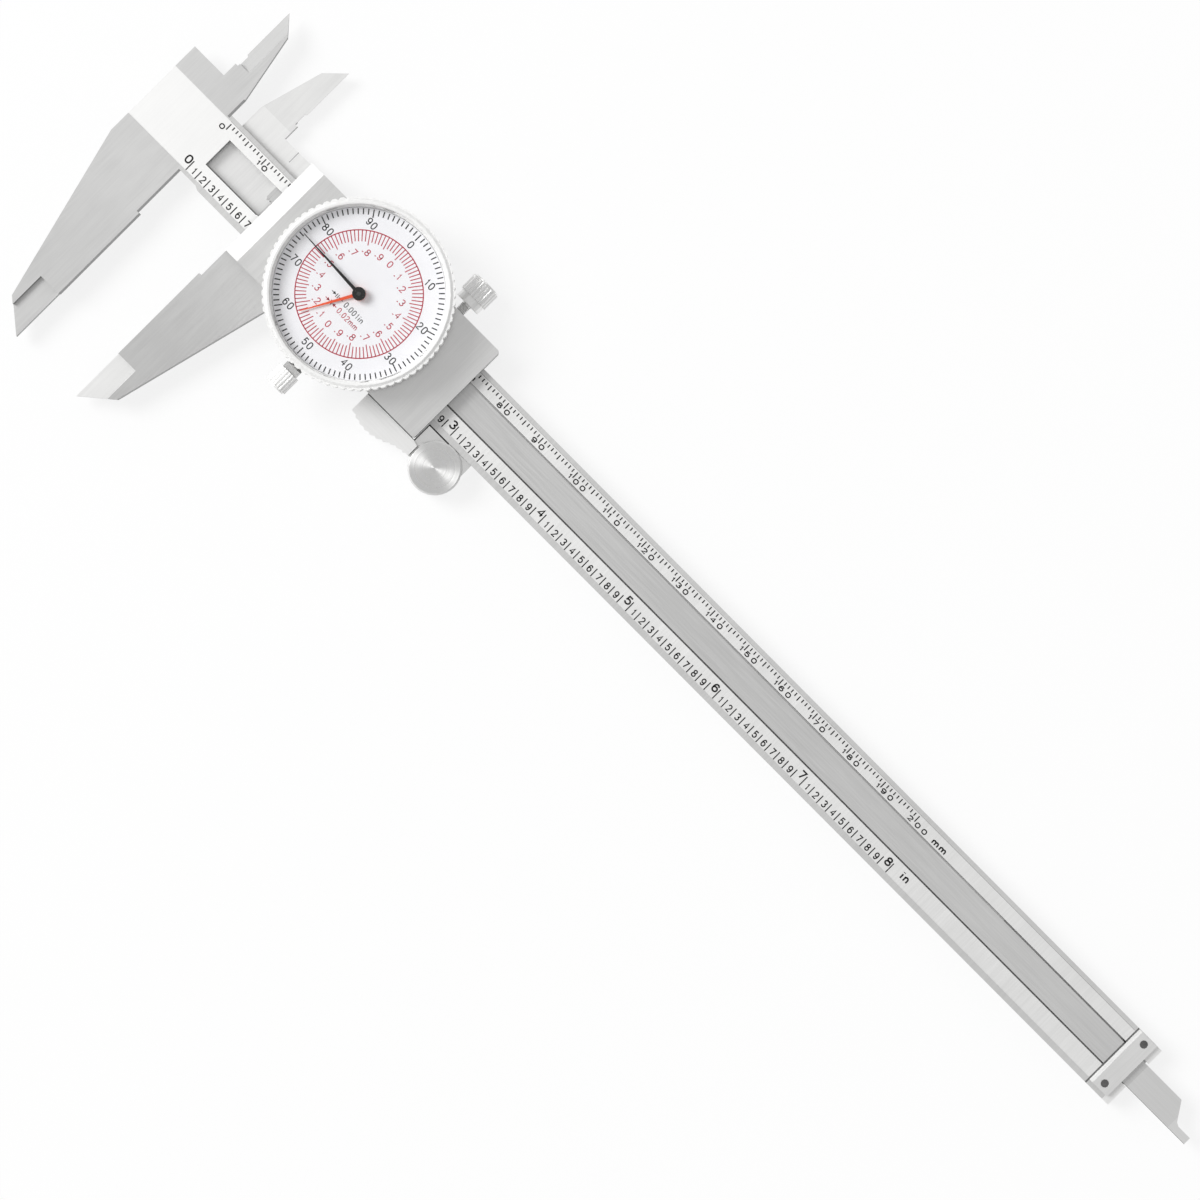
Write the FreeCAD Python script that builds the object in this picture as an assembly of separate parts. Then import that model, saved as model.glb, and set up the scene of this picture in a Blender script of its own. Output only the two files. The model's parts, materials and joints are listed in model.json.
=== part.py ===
import FreeCAD, Part

import math
import os

from FreeCAD import Vector

os.makedirs("parts", exist_ok=True)

# Dial caliper, 0 to 200 mm and 0 to 8 in, face up, with its jaws a little open. Millimetres.
# The drawing is made from the fixed jaw's measuring face (x = 0), the beam's centre line
# (y = 0) and the beam's front face (z = 0). The saved pieces are shifted so that the origin
# is the middle of the caliper's footprint, on the surface that it lies on.

# Jaws
opening = 17.155
jaw_reach = 55.0
jaw_toe_reach = 49.6
jaw_toe_width = 6.4
jaw_root_width = 15.9
jaw_root_reach = 11.6
jaw_relief = 0.65
jaw_relief_end = 19.5
thin_tip_reach = 42.7
thin_tip_width = 5.0
thin_tip_thickness = 1.8

# Inside jaws, which cross each other in the front and the rear half of the beam
inside_edge = 7.4
inside_reach = 31.0
inside_shoulder_reach = 27.1
inside_edge_start = 19.0
inside_notch_start = 15.9
inside_notch = 0.42
inside_crossing_gap = 0.1
inside_arm_step = 0.25
inside_arm_step_place = -3.25
inside_arm_drop = 0.3
inside_bevel_start = 16.5
inside_bevel_width = 3.0
inside_bevel_land = 0.4
fixed_inside_root = 6.4
fixed_inside_root_reach = 12.0
fixed_inside_shoulder = 3.5
sliding_inside_root = 7.8
sliding_inside_root_reach = 13.4
sliding_inside_shoulder = 4.0
head_top = 12.5

# Beam
beam_end = 270.8
beam_width = 15.8
beam_thickness = 4.0
beam_notch_length = 5.1
beam_notch_depth = 0.5
beam_notch_slope = 1.0
scale_recess = 0.08
scale_low = -6.62
scale_high = 6.92
channel_start = 2.5
channel_low = -2.65
channel_high = 4.05
channel_depth = 2.6
bridge_inset = 6.6
bridge_length = 4.95
bridge_low = -6.9
bridge_high = 7.8
bridge_thickness = 1.1
bridge_bevel = 0.7
bridge_corner = 0.6
bridge_screw_radius = 0.6
bridge_screw_head = 0.85
bridge_screw_depth = 2.0
bridge_screw_inset = 1.65
bridge_screw_place = 2.7

# Rack, and the gear train of the dial
rack_start = 15.7
rack_end_gap = 41.8
rack_thickness = 1.2
rack_side_gap = 0.05
rack_pitch = 0.635
rack_line = 1.14
rack_screw_inset = 5.0
rack_screw_head = 0.8
rack_screw_radius = 0.45
rack_screw_depth = 1.1
rack_screw_height = 2.8
pinion_teeth = 16
inch_wheel_teeth = 80
inch_pinion_teeth = 20
mm_wheel_teeth = 127
mm_pinion_teeth = 25
gear_centres = 7.6
gear_thickness = 0.5
gear_gap = 0.4
gear_overlap = 0.1
wheel_rim_width = 1.2
wheel_hub_radius = 2.0
wheel_spokes = 4
window_rim_shares = (0.15, 0.5, 0.85)
window_hub_shares = (0.7, 0.3)
tooth_tip = 1.0
tooth_root = 1.25
leaf_tip = 0.7
leaf_tip_share = 0.16
leaf_root_share = 0.5

# Slider
reading_edge = 0.48
reading_bevel = 3.6
reading_edge_height = 0.5
slider_length = 54.2
slider_top = 12.6
slider_bottom = -12.3
front_plate = 3.0
back_plate = 1.5
slider_corner = 0.6
running_gap = 0.03
gib_thickness = 0.8
gib_margin = 1.0
gib_face_gap = 0.1
gib_screw_radius = 0.9
gib_screw_places = (12.0, 32.0)
gib_screw_sunk = 0.3
gib_screw_slot = 0.3
gib_screw_slot_depth = 0.6

# Depth blade
blade_thickness = 1.2
blade_low = -2.5
blade_high = 3.65
blade_top_gap = 0.1
blade_pinion_gap = 1.0
blade_nib_height = 1.75
blade_nib_length = 4.3
blade_nib_corner = 0.9
blade_nib_rise = 0.45
blade_slope_start = 10.2
blade_screw_head = 1.1
blade_screw_radius = 0.6
blade_screw_depth = 1.6
blade_screw_places = (4.0, 14.0)

# Dial, measured from the sliding jaw's face
dial_place = 26.55
dial_height = 0.5
dial_turn = 1.2
case_radius = 16.9
case_wall = 1.5
case_floor = 1.0
case_depth = 4.8
case_screw_radius = 1.0
case_screw_head = 1.6
case_screw_head_height = 0.9
case_screw_length = 3.0
case_screw_angles = (0, 135, 225)
bezel_width = 2.5
bezel_skirt_gap = 0.1
bezel_height = 7.1
bezel_floor_gap = 0.6
bezel_chamfer = 0.5
bezel_ridge_count = 72
bezel_ridge_height = 0.38
bezel_ridge_root = 0.1
crystal_overhang = 1.0
crystal_seat = 0.3
crystal_gap = 0.1
crystal_thickness = 1.0
crystal_seat_depth = 0.2
dial_face_gap = 0.1
dial_face_thickness = 0.3
dial_ledge = 0.3
dial_ledge_width = 0.5
snap_ring_height = 0.6
snap_ring_depth = 0.35
snap_ring_gap = 0.05
snap_ring_level = 1.65
snap_ring_split = 3.0
bridge_plate_thickness = 0.7
bridge_plate_margin = 1.2
pillar_radius = 1.2
pillar_angles = (20, 122, 239)
movement_wall_gap = 0.6
movement_floor_gap = 0.7
movement_bridge_gap = 0.5
case_screw_wall_gap = 0.3
movement_screw_radius = 0.6
movement_screw_head = 1.1
movement_screw_head_height = 0.5
movement_screw_length = 2.0

# Arbors and pointers
arbor_radius = 0.75
upper_pivot_radius = 0.4
arbor_end_gap = 0.1
bush_radius = 2.4
bush_length = 2.5
bush_flange = 0.5
bush_flange_gap = 0.3
dial_hole_gap = 0.35
centre_arbor_radius = 0.45
sleeve_radius = 0.85
fit_gap = 0.05
hub_radius = 1.37
mm_hub_height = 0.5
inch_hub_height = 0.9
hub_lift = 0.3
hub_gap = 0.15
pointer_thickness = 0.15
pointer_root_width = 0.75
pointer_tip_width = 0.15
inch_pointer_travel = 2.54
mm_pointer_travel = 2.0
inch_pointer_inset = 1.2
mm_pointer_inset = 5.05

# Thumb roller, its bracket and the grip
roller_place = 61.95
roller_radius = 5.6
roller_width = 4.8
roller_axle_radius = 1.2
roller_axle_length = 0.45
roller_edge = 0.35
roller_gap = 0.05
clip_radius = 2.2
clip_thickness = 0.3
bracket_thickness = 0.8
bracket_overlap = 0.7
bracket_end = 66.9
bracket_low = -15.6
bracket_back_gap = 0.1
bracket_side_gap = 0.08
bracket_corner = 4.0
bracket_screw_head = 1.0
bracket_screw_radius = 0.6
bracket_screw_length = 2.4
bracket_screw_places = (43.2, 54.4)
bracket_screw_drop = 1.9
grip_start = 41.65
grip_end = 56.3
grip_drop = 4.6
grip_ridge_count = 10
grip_ridge_height = 0.35
grip_ridge_shares = (0.15, 0.85)
grip_swell = 1.3
grip_swell_turns = 1.35
grip_fall = 1.4
grip_edge = 0.2
grip_end_low = 3.4
grip_end_high = 0.6
grip_front = 1.2
grip_screw_places = (45.5, 51.5)
grip_screw_radius = 0.8
grip_screw_head = 1.5
grip_screw_head_height = 1.0
grip_screw_length = 4.2
grip_screw_seat = 1.6

# Knurled screws
lock_place = 42.9
lock_head_radius = 3.3
lock_collar_radius = 2.9
lock_thread_radius = 0.97
lock_collar_start = 14.87
lock_head_start = 16.6
lock_head_end = 20.7
lock_knurl_count = 24
clamp_knurl_count = 20
clamp_offset = 1.0
clamp_level = 6.0
clamp_head_radius = 2.5
clamp_head_length = 4.3
clamp_thread_radius = 0.8
clamp_lug_width = 3.4
clamp_lug_thickness = 1.25
clamp_lug_gap = 0.25
clamp_foot_height = 1.3
knurl_depth = 0.25
knurl_cap_length = 0.35
knurl_cap_inset = 0.35
ridge_shares = (0.0, 0.4, 0.7)
screw_gap = 0.05

# Flat sides that stand for a circle below each radius, and for any larger one. A side lies at
# most 0.045 inside its circle, less than the smallest fit, so what turns never touches.
sides_below = ((1.0, 12), (3.5, 20), (8.0, 36))
most_sides = 48
screw_sides = 10
corner_steps = 4

# How far a cut runs past a face, and a joined form into the one that carries it
overrun = 1.0

# Levels and places that follow from the sizes above
half_width = beam_width / 2
beam_back = -beam_thickness
bridge_start = beam_end - bridge_inset
rack_end = beam_end - rack_end_gap
jaw = opening
slider_start = jaw + reading_edge
slider_end = slider_start + slider_length
plate_low = running_gap
plate_high = front_plate
slot_back = beam_back - running_gap
slider_back = slot_back - back_plate
slot_low = -half_width - running_gap
gib_low = half_width + running_gap
slot_high = gib_low + gib_thickness + running_gap
dial_x = jaw + dial_place
dial_y = dial_height
rack_floor = -channel_depth
rack_top = rack_floor + rack_thickness
blade_high_level = -blade_top_gap
blade_low_level = blade_high_level - blade_thickness
rack_module = rack_pitch / math.pi
pinion_radius = pinion_teeth * rack_pitch / (2 * math.pi)
pinion_y = rack_line - pinion_radius
pinion_x = dial_x - math.sqrt(gear_centres ** 2 - (pinion_y - dial_y) ** 2)
inch_module = 2 * gear_centres / (inch_wheel_teeth + inch_pinion_teeth)
mm_module = 2 * gear_centres / (mm_wheel_teeth + mm_pinion_teeth)
floor_top = plate_high + case_floor
inch_gear_level = floor_top + movement_floor_gap
mm_gear_level = inch_gear_level + gear_thickness + gear_gap
movement_bridge_level = mm_gear_level + gear_thickness + movement_bridge_gap
case_top = plate_high + case_depth
dial_back = case_top + bezel_skirt_gap + dial_ledge
dial_front = dial_back + dial_face_thickness
mm_hub_level = dial_front + hub_lift
inch_hub_level = mm_hub_level + mm_hub_height + hub_gap
bezel_low = floor_top + bezel_floor_gap
bezel_top = bezel_low + bezel_height
crystal_back = bezel_top - crystal_seat_depth - crystal_thickness
skirt_radius = case_radius + bezel_skirt_gap
bezel_radius = skirt_radius + bezel_width
crystal_radius = case_radius + crystal_overhang
bezel_wall_radius = crystal_radius - crystal_seat
dial_face_radius = bezel_wall_radius - dial_face_gap
case_inner = case_radius - case_wall
case_screw_circle = case_inner - case_screw_head - case_screw_wall_gap
pillar_circle = case_inner - movement_wall_gap - pillar_radius - bridge_plate_margin
snap_ring_low = floor_top + snap_ring_level
lug_inner = bezel_radius + clamp_lug_gap
lug_outer = lug_inner + clamp_lug_thickness
blade_start = pinion_x + pinion_radius + blade_pinion_gap
blade_tip = beam_end + jaw
roller_x = jaw + roller_place
roller_y = -half_width - roller_gap - roller_radius
bracket_high_level = beam_back - bracket_back_gap
bracket_low_level = bracket_high_level - bracket_thickness
lock_level = -beam_thickness / 2

# The origin: the middle of the footprint, on the surface under the slider's back
origin = Vector(
    (blade_tip - jaw_root_width) / 2,
    (inside_reach - jaw_reach) / 2,
    slider_back,
)


up = Vector(0, 0, 1)
down = Vector(0, 0, -1)
outward = Vector(0, -1, 0)
across = Vector(0, 1, 0)


def save(name, shape):
    """Write one piece, moved from the drawing's datum to the part's origin."""
    placed = shape.copy()
    placed.translate(-origin)
    placed.exportStep("parts/" + name + ".step")


def block(x0, x1, y0, y1, z0, z1):
    """Box between two values along each direction."""
    return Part.makeBox(x1 - x0, y1 - y0, z1 - z0, Vector(x0, y0, z0))


def prism(points, low, high):
    """Straight-sided outline, extruded from one level to another."""
    corners = [Vector(x, y, low) for x, y in points]
    return Part.Face(Part.makePolygon(corners + corners[:1])).extrude(Vector(0, 0, high - low))


def arc_points(x, y, radius, start, turn):
    """Points along an arc. It starts and turns by angles in degrees."""
    angles = [math.radians(start + turn * step / corner_steps) for step in range(corner_steps + 1)]
    return [(x + radius * math.cos(angle), y + radius * math.sin(angle)) for angle in angles]


def bevel(x0, z0, x1, z1, y0, y1):
    """Wedge above a slope that rises from (x0, z0) to (x1, z1), to be cut off along y."""
    corners = [Vector(x0, y0, z0), Vector(x1, y0, z1), Vector(x0, y0, z1)]
    return Part.Face(Part.makePolygon(corners + corners[:1])).extrude(Vector(0, y1 - y0, 0))


def sides_of(radius):
    """Number of flat sides for a circle of this radius."""
    for limit, sides in sides_below:
        if radius < limit:
            return sides
    return most_sides


def turned(profile, base=Vector(0, 0, 0), axis=up, sides=None):
    """Flat-sided solid of revolution from (radius, distance along the axis) points.

    A profile starts and ends on the axis. One that never meets it makes a ring.
    """
    sides = sides or sides_of(max(radius for radius, along in profile))
    angles = [2 * math.pi * number / sides for number in range(sides)]
    rings = []
    for radius, along in profile:
        if radius:
            rings.append([Vector(radius * math.cos(a), radius * math.sin(a), along) for a in angles])
    solid = len(rings) < len(profile)
    outlines = [rings[0], rings[-1]] if solid else []
    following = rings[1:] if solid else rings[1:] + rings[:1]
    for ring, after in zip(rings, following):
        for k in range(sides):
            outlines.append([ring[k - 1], ring[k], after[k], after[k - 1]])
    faces = [Part.Face(Part.makePolygon(outline + outline[:1])) for outline in outlines]
    shape = Part.makeSolid(Part.makeShell(faces)).removeSplitter()
    if shape.Volume < 0:
        shape.reverse()
    shape.Placement = FreeCAD.Placement(base, FreeCAD.Rotation(up, axis))
    return shape


def bar_profile(radius, low, high):
    """Profile of a plain round bar."""
    return [(0, low), (radius, low), (radius, high), (0, high)]


def rod(radius, x, y, low, high):
    """Round bar that stands on the drawing plane."""
    return turned(bar_profile(radius, low, high), Vector(x, y, 0))


def rod_across(radius, x, z, low, high):
    """Round bar along y."""
    return turned(bar_profile(radius, low, high), Vector(x, 0, z), across)


def ring_points(count, radii, shares, phase=0.0):
    """Closed outline that repeats the given radii, at shares of each step, round a circle."""
    points = []
    for number in range(count):
        for radius, share in zip(radii, shares):
            angle = phase + 2 * math.pi * (number + share) / count
            points.append((radius * math.cos(angle), radius * math.sin(angle)))
    return points


def serrated(radius, depth, count, low, high):
    """Disc with flat-topped ridges round its rim."""
    points = ring_points(count, (radius, radius, radius - depth), ridge_shares)
    return prism(points, low, high)


def wheel(teeth, module, low, high, facing):
    """Large gear with pointed teeth. One tooth faces the given direction, in radians."""
    radius = teeth * module / 2
    radii = (radius + tooth_tip * module, radius - tooth_root * module)
    return prism(ring_points(teeth, radii, (0, 1 / 2), facing), low, high)


def pinion(teeth, module, low, high, facing):
    """Small gear with slim leaves. One leaf faces the given direction, in radians."""
    radius = teeth * module / 2
    tip = radius + leaf_tip * module
    root = radius - tooth_root * module
    half_tip = leaf_tip_share / 2
    half_root = leaf_root_share / 2
    shares = (-half_root, -half_tip, half_tip, half_root)
    return prism(ring_points(teeth, (root, tip, tip, root), shares, facing), low, high)


def countersunk(head_radius, radius, length):
    """Flat-headed screw with its head's face at 0 and its point at -length."""
    head = head_radius - radius
    return [(0, 0), (head_radius, 0), (radius, -head), (radius, -length), (0, -length)]


def cheese_head(head_radius, head_height, radius, length):
    """Screw with a plain round head above 0 and its shank below."""
    return [
        (0, head_height), (head_radius, head_height), (head_radius, 0),
        (radius, 0), (radius, -length), (0, -length),
    ]


def widened(profile, gap):
    """The same turned profile with every radius off the axis enlarged by a gap."""
    return [(radius + gap if radius else 0, along) for radius, along in profile]


def outside_jaw(face, direction, top):
    """Long jaw below the beam. The direction is -1 for the fixed jaw and +1 for the sliding one."""
    outline = [
        (jaw_relief, -top),
        (jaw_relief, jaw_relief_end),
        (0, jaw_relief_end),
        (0, jaw_reach),
        (jaw_toe_width, jaw_toe_reach),
        (jaw_root_width, jaw_root_reach),
        (jaw_root_width, -top),
    ]
    points = [(face + direction * width, -reach) for width, reach in outline]
    solid = prism(points, beam_back, 0)
    side_cut = (beam_thickness - thin_tip_thickness) / 2
    near = face - direction * overrun
    far = face + direction * thin_tip_width
    for low, high in ((-side_cut, overrun), (beam_back - overrun, beam_back + side_cut)):
        solid = solid.cut(
            block(min(near, far), max(near, far), -jaw_reach - overrun, -thin_tip_reach, low, high)
        )
    return solid


def inside_jaw(edge, direction, root, root_reach, shoulder, low, high, bevel_top, base):
    """Short knife-edged jaw above the beam, with its body on the given side of its edge."""
    outline = [
        (-inside_notch / 2, base),
        (-inside_notch / 2, inside_notch_start),
        (inside_notch, inside_notch_start),
        (inside_notch, inside_edge_start - inside_notch),
        (0, inside_edge_start),
        (0, inside_reach),
        (shoulder, inside_shoulder_reach),
        (root, root_reach),
        (root, base),
    ]
    solid = prism([(edge + direction * width, reach) for width, reach in outline], low, high)
    face = high if bevel_top else low
    land = low + inside_bevel_land if bevel_top else high - inside_bevel_land
    corners = [
        Vector(edge - direction * overrun, inside_bevel_start, land),
        Vector(edge, inside_bevel_start, land),
        Vector(edge + direction * inside_bevel_width, inside_bevel_start, face),
        Vector(edge - direction * overrun, inside_bevel_start, face),
    ]
    wedge = Part.Face(Part.makePolygon(corners + corners[:1])).extrude(Vector(0, inside_reach, 0))
    return solid.cut(wedge)


def screw_hole(profile, base, axis=up):
    """Clearance hole in the form of its screw."""
    return turned(widened(profile, screw_gap), base, axis, screw_sides)


def rack_screw_profile():
    """Flat-headed screw that holds the rack, sunk flush in its face."""
    return countersunk(rack_screw_head, rack_screw_radius, rack_thickness + rack_screw_depth)


def bridge_screw_profile():
    """Flat-headed screw of the bridge plate at the beam's end."""
    return countersunk(bridge_screw_head, bridge_screw_radius, bridge_thickness + bridge_screw_depth)


def bridge_screw_bases():
    x = bridge_start + bridge_screw_place
    sides = (bridge_high - bridge_screw_inset, bridge_low + bridge_screw_inset)
    return [Vector(x, y, bridge_thickness) for y in sides]


def rack_screw_bases():
    ends = (rack_start + rack_screw_inset, rack_end - rack_screw_inset)
    places = (ends[0], sum(ends) / 2, ends[1])
    return [Vector(x, rack_screw_height, rack_top) for x in places]


def main_beam():
    """Beam, head and both fixed jaws in one piece, with the channel in its front face."""
    bar = block(-jaw_root_width, beam_end, -half_width, half_width, beam_back, 0)
    notch_slope = beam_notch_length - beam_notch_slope
    notch = [
        (-jaw_relief, -half_width - overrun),
        (-jaw_relief, -half_width + beam_notch_depth),
        (notch_slope, -half_width + beam_notch_depth),
        (beam_notch_length, -half_width),
        (beam_notch_length, -half_width - overrun),
    ]
    crossing = beam_back / 2 + inside_crossing_gap / 2
    head = block(
        -jaw_root_width, -inside_edge - inside_notch / 2, 0, head_top, crossing, 0
    )
    blade = inside_jaw(
        -inside_edge, 1, fixed_inside_root, fixed_inside_root_reach, fixed_inside_shoulder,
        crossing, 0, True, 0,
    )
    beam = bar.cut(prism(notch, beam_back - overrun, overrun))
    beam = beam.fuse([head, blade, outside_jaw(0, -1, 0)]).removeSplitter()
    channel = block(channel_start, beam_end + overrun, channel_low, channel_high, rack_floor, overrun)
    head_end = -jaw_root_width - overrun
    recess = block(head_end, bridge_start, scale_low, scale_high, -scale_recess, overrun)
    beam = beam.cut(channel).cut(recess)
    for base in rack_screw_bases():
        beam = beam.cut(screw_hole(rack_screw_profile(), base))
    for base in bridge_screw_bases():
        beam = beam.cut(screw_hole(bridge_screw_profile(), base))
    return beam


def gear_rack():
    """Toothed strip that lies in the channel against its upper wall, teeth down."""
    count = int((rack_end - rack_start) / rack_pitch)
    points = [(rack_start, channel_high - rack_side_gap)]
    root = rack_line + tooth_root * rack_module
    tip = rack_line - tooth_tip * rack_module
    for number in range(count):
        left = rack_start + number * rack_pitch
        points.append((left, root))
        points.append((left + rack_pitch / 2, tip))
    end = rack_start + count * rack_pitch
    points.append((end, root))
    points.append((end, channel_high - rack_side_gap))
    rack = prism(points, rack_floor, rack_top)
    for base in rack_screw_bases():
        rack = rack.cut(screw_hole(rack_screw_profile(), base))
    return rack


def end_bridge_plate():
    """Small plate across the beam's end, which keeps the depth blade in its channel."""
    end = bridge_start + bridge_length
    outline = [(end, bridge_high), (bridge_start, bridge_high), (bridge_start, bridge_low)]
    outline += arc_points(end - bridge_corner, bridge_low + bridge_corner, bridge_corner, -90, 90)
    plate = prism(outline, 0, bridge_thickness)
    edge = bridge_start + bridge_bevel
    slope = bridge_thickness - bridge_bevel
    plate = plate.cut(bevel(bridge_start, slope, edge, bridge_thickness, bridge_low, bridge_high))
    for base in bridge_screw_bases():
        plate = plate.cut(screw_hole(bridge_screw_profile(), base))
    return plate


def blade_screw_profile():
    """Flat-headed screw that holds the depth blade up against the slider's seat."""
    length = blade_thickness + blade_top_gap + blade_screw_depth
    return countersunk(blade_screw_head, blade_screw_radius, length)


def blade_screw_bases():
    middle = (blade_low + blade_high) / 2
    return [Vector(blade_start + along, middle, blade_low_level) for along in blade_screw_places]


def depth_blade():
    """Thin flat strip that slides in the channel and ends in a stepped measuring nib."""
    shoulder = beam_end + blade_slope_start
    nib_start = blade_tip - blade_nib_length
    nib_top = blade_low + blade_nib_height
    outline = [
        (blade_start, blade_low),
        (blade_tip, blade_low),
        (blade_tip, nib_top),
        (nib_start + blade_nib_corner, nib_top),
        (nib_start, nib_top + blade_nib_rise),
        (shoulder, blade_high),
        (blade_start, blade_high),
    ]
    blade = prism(outline, blade_low_level, blade_high_level)
    for base in blade_screw_bases():
        blade = blade.cut(screw_hole(blade_screw_profile(), base, down))
    return blade


def case_screw_profile():
    """Cheese-headed screw that holds the dial case on the slider."""
    return cheese_head(case_screw_head, case_screw_head_height, case_screw_radius, case_screw_length)


def case_screw_bases():
    bases = []
    for degrees in case_screw_angles:
        angle = math.radians(degrees)
        x = dial_x + case_screw_circle * math.cos(angle)
        y = dial_y + case_screw_circle * math.sin(angle)
        bases.append(Vector(x, y, floor_top))
    return bases


def grip_screw_bases():
    level = beam_back / 2
    return [Vector(jaw + along, slider_bottom - grip_screw_seat, level) for along in grip_screw_places]


def grip_screw_profile():
    """Cheese-headed screw that goes up through the grip into the slider's lower rail."""
    return cheese_head(grip_screw_head, grip_screw_head_height, grip_screw_radius, grip_screw_length)


def gib_screw_bases():
    return [jaw + along for along in gib_screw_places]


def slider_frame():
    """Slider with both sliding jaws, closed round the beam."""
    inner = slider_end - slider_corner
    outline = [(slider_start, slider_top), (slider_start, slider_bottom)]
    outline += arc_points(inner, slider_bottom + slider_corner, slider_corner, -90, 90)
    outline += arc_points(inner, slider_top - slider_corner, slider_corner, 0, 90)
    body = prism(outline, slider_back, plate_high)
    bevel_end = slider_start + reading_bevel
    body = body.cut(bevel(
        slider_start, reading_edge_height, bevel_end, plate_high, slider_bottom, slider_top
    ))
    jaw_below = outside_jaw(jaw, 1, slider_bottom + overrun)
    crossing = beam_back / 2 - inside_crossing_gap / 2
    edge = jaw - inside_edge
    jaw_above = inside_jaw(
        edge, -1, sliding_inside_root, sliding_inside_root_reach, sliding_inside_shoulder,
        beam_back, crossing, False, gib_low,
    )
    step = jaw + inside_arm_step_place
    arm = block(edge, slider_start + overrun, gib_low, slider_top - inside_arm_drop, beam_back, crossing)
    lowered = block(
        edge - sliding_inside_root - overrun, step, gib_low - overrun, inside_reach + overrun,
        crossing - inside_arm_step, crossing + overrun,
    )
    body = body.fuse([jaw_below, jaw_above.cut(lowered), arm.cut(lowered)]).removeSplitter()
    body = body.cut(block(
        slider_start - overrun, slider_end + overrun, slot_low, gib_low, slot_back, plate_low
    ))
    gib_slot = block(
        slider_start + gib_margin - running_gap, slider_end - gib_margin + running_gap,
        gib_low - overrun, slot_high, beam_back, 0,
    )
    body = body.cut(gib_slot)
    seat = block(
        blade_start, slider_end - gib_margin, blade_low, blade_high, blade_high_level, plate_low + overrun
    )
    body = body.fuse(seat).removeSplitter()
    bush_hole = bush_radius + screw_gap
    body = body.cut(rod(bush_hole, pinion_x, pinion_y, -overrun, plate_high + overrun))
    for base in case_screw_bases():
        body = body.cut(screw_hole(case_screw_profile(), base))
    for base in blade_screw_bases():
        body = body.cut(screw_hole(blade_screw_profile(), base, down))
    top = slider_top + overrun
    for x in gib_screw_bases():
        body = body.cut(rod_across(gib_screw_radius + screw_gap, x, lock_level, gib_low, top))
    lock_hole = lock_thread_radius + screw_gap
    body = body.cut(rod_across(lock_hole, jaw + lock_place, lock_level, gib_low, top))
    for base in grip_screw_bases():
        body = body.cut(screw_hole(grip_screw_profile(), base, outward))
    return body


def gib_strip():
    """Thin strip between the slider's upper rail and the beam's upper edge."""
    return block(
        slider_start + gib_margin, slider_end - gib_margin,
        gib_low, gib_low + gib_thickness, beam_back + gib_face_gap, -gib_face_gap,
    )


def gib_set_screws():
    """Headless screws that set the gib's pressure."""
    low = slot_high
    high = slider_top - gib_screw_sunk
    half = gib_screw_slot / 2
    floor = high - gib_screw_slot_depth
    reach = gib_screw_radius + overrun
    pair = []
    for x in gib_screw_bases():
        screw = rod_across(gib_screw_radius, x, lock_level, low, high)
        slot = block(x - half, x + half, floor, high + overrun, lock_level - reach, lock_level + reach)
        pair.append(screw.cut(slot))
    return Part.makeCompound(pair)


def knurled_head(radius, length, count):
    """Straight-knurled screw head with a plain end cap."""
    cap_start = length - knurl_cap_length
    ridges = serrated(radius, knurl_depth, count, 0, cap_start)
    return ridges.fuse(rod(radius - knurl_cap_inset, 0, 0, cap_start, length))


def lock_screw():
    """Knurled screw on the upper edge, which presses on the gib."""
    length = lock_head_end - lock_head_start
    head = knurled_head(lock_head_radius, length, lock_knurl_count)
    start = slot_high + screw_gap
    shank = turned([
        (0, start), (lock_thread_radius, start),
        (lock_thread_radius, lock_collar_start), (lock_collar_radius, lock_collar_start),
        (lock_collar_radius, lock_head_start),
        (0, lock_head_start),
    ])
    shank.translate(Vector(0, 0, -lock_head_start))
    screw = head.fuse(shank).removeSplitter()
    base = Vector(jaw + lock_place, lock_head_start, lock_level)
    screw.Placement = FreeCAD.Placement(base, FreeCAD.Rotation(up, across))
    return screw


def dial_case():
    """Round metal case of the dial, open at the front, with the lug for the bezel's screw."""
    groove_radius = case_radius - snap_ring_depth - snap_ring_gap
    groove_low = snap_ring_low - snap_ring_gap
    groove_high = snap_ring_low + snap_ring_height + snap_ring_gap
    case = turned([
        (0, plate_high), (case_radius, plate_high),
        (case_radius, groove_low), (groove_radius, groove_low),
        (groove_radius, groove_high), (case_radius, groove_high),
        (case_radius, case_top), (case_inner, case_top), (case_inner, floor_top), (0, floor_top),
    ], Vector(dial_x, dial_y, 0))
    lug_x = dial_x + clamp_offset
    half = clamp_lug_width / 2
    foot = block(
        lug_x - half, lug_x + half, dial_y - lug_outer, dial_y - case_inner - overrun,
        plate_high, plate_high + clamp_foot_height,
    )
    upright = block(
        lug_x - half, lug_x + half, dial_y - lug_outer, dial_y - lug_inner, plate_high, clamp_level + half
    )
    case = case.fuse([foot, upright]).removeSplitter()
    hole = clamp_thread_radius + screw_gap
    near = dial_y - lug_inner + overrun
    far = dial_y - lug_outer - overrun
    case = case.cut(rod_across(hole, lug_x, clamp_level, far, near))
    bush_hole = bush_radius + bush_flange + bush_flange_gap
    low = plate_high - overrun
    high = floor_top + overrun
    case = case.cut(rod(bush_hole, pinion_x, pinion_y, low, high))
    case = case.cut(rod(centre_arbor_radius + fit_gap, dial_x, dial_y, low, high))
    for base in case_screw_bases():
        case = case.cut(screw_hole(case_screw_profile(), base))
    return case


def pinion_bush():
    """Flanged brass bush in the slider's front plate, which carries the rack pinion's arbor."""
    bore = arbor_radius + fit_gap
    flange = bush_radius + bush_flange
    low = plate_high - bush_length
    high = plate_high + bush_flange
    return turned([
        (bore, low), (bush_radius, low), (bush_radius, plate_high),
        (flange, plate_high), (flange, high), (bore, high),
    ], Vector(pinion_x, pinion_y, 0))


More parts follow.
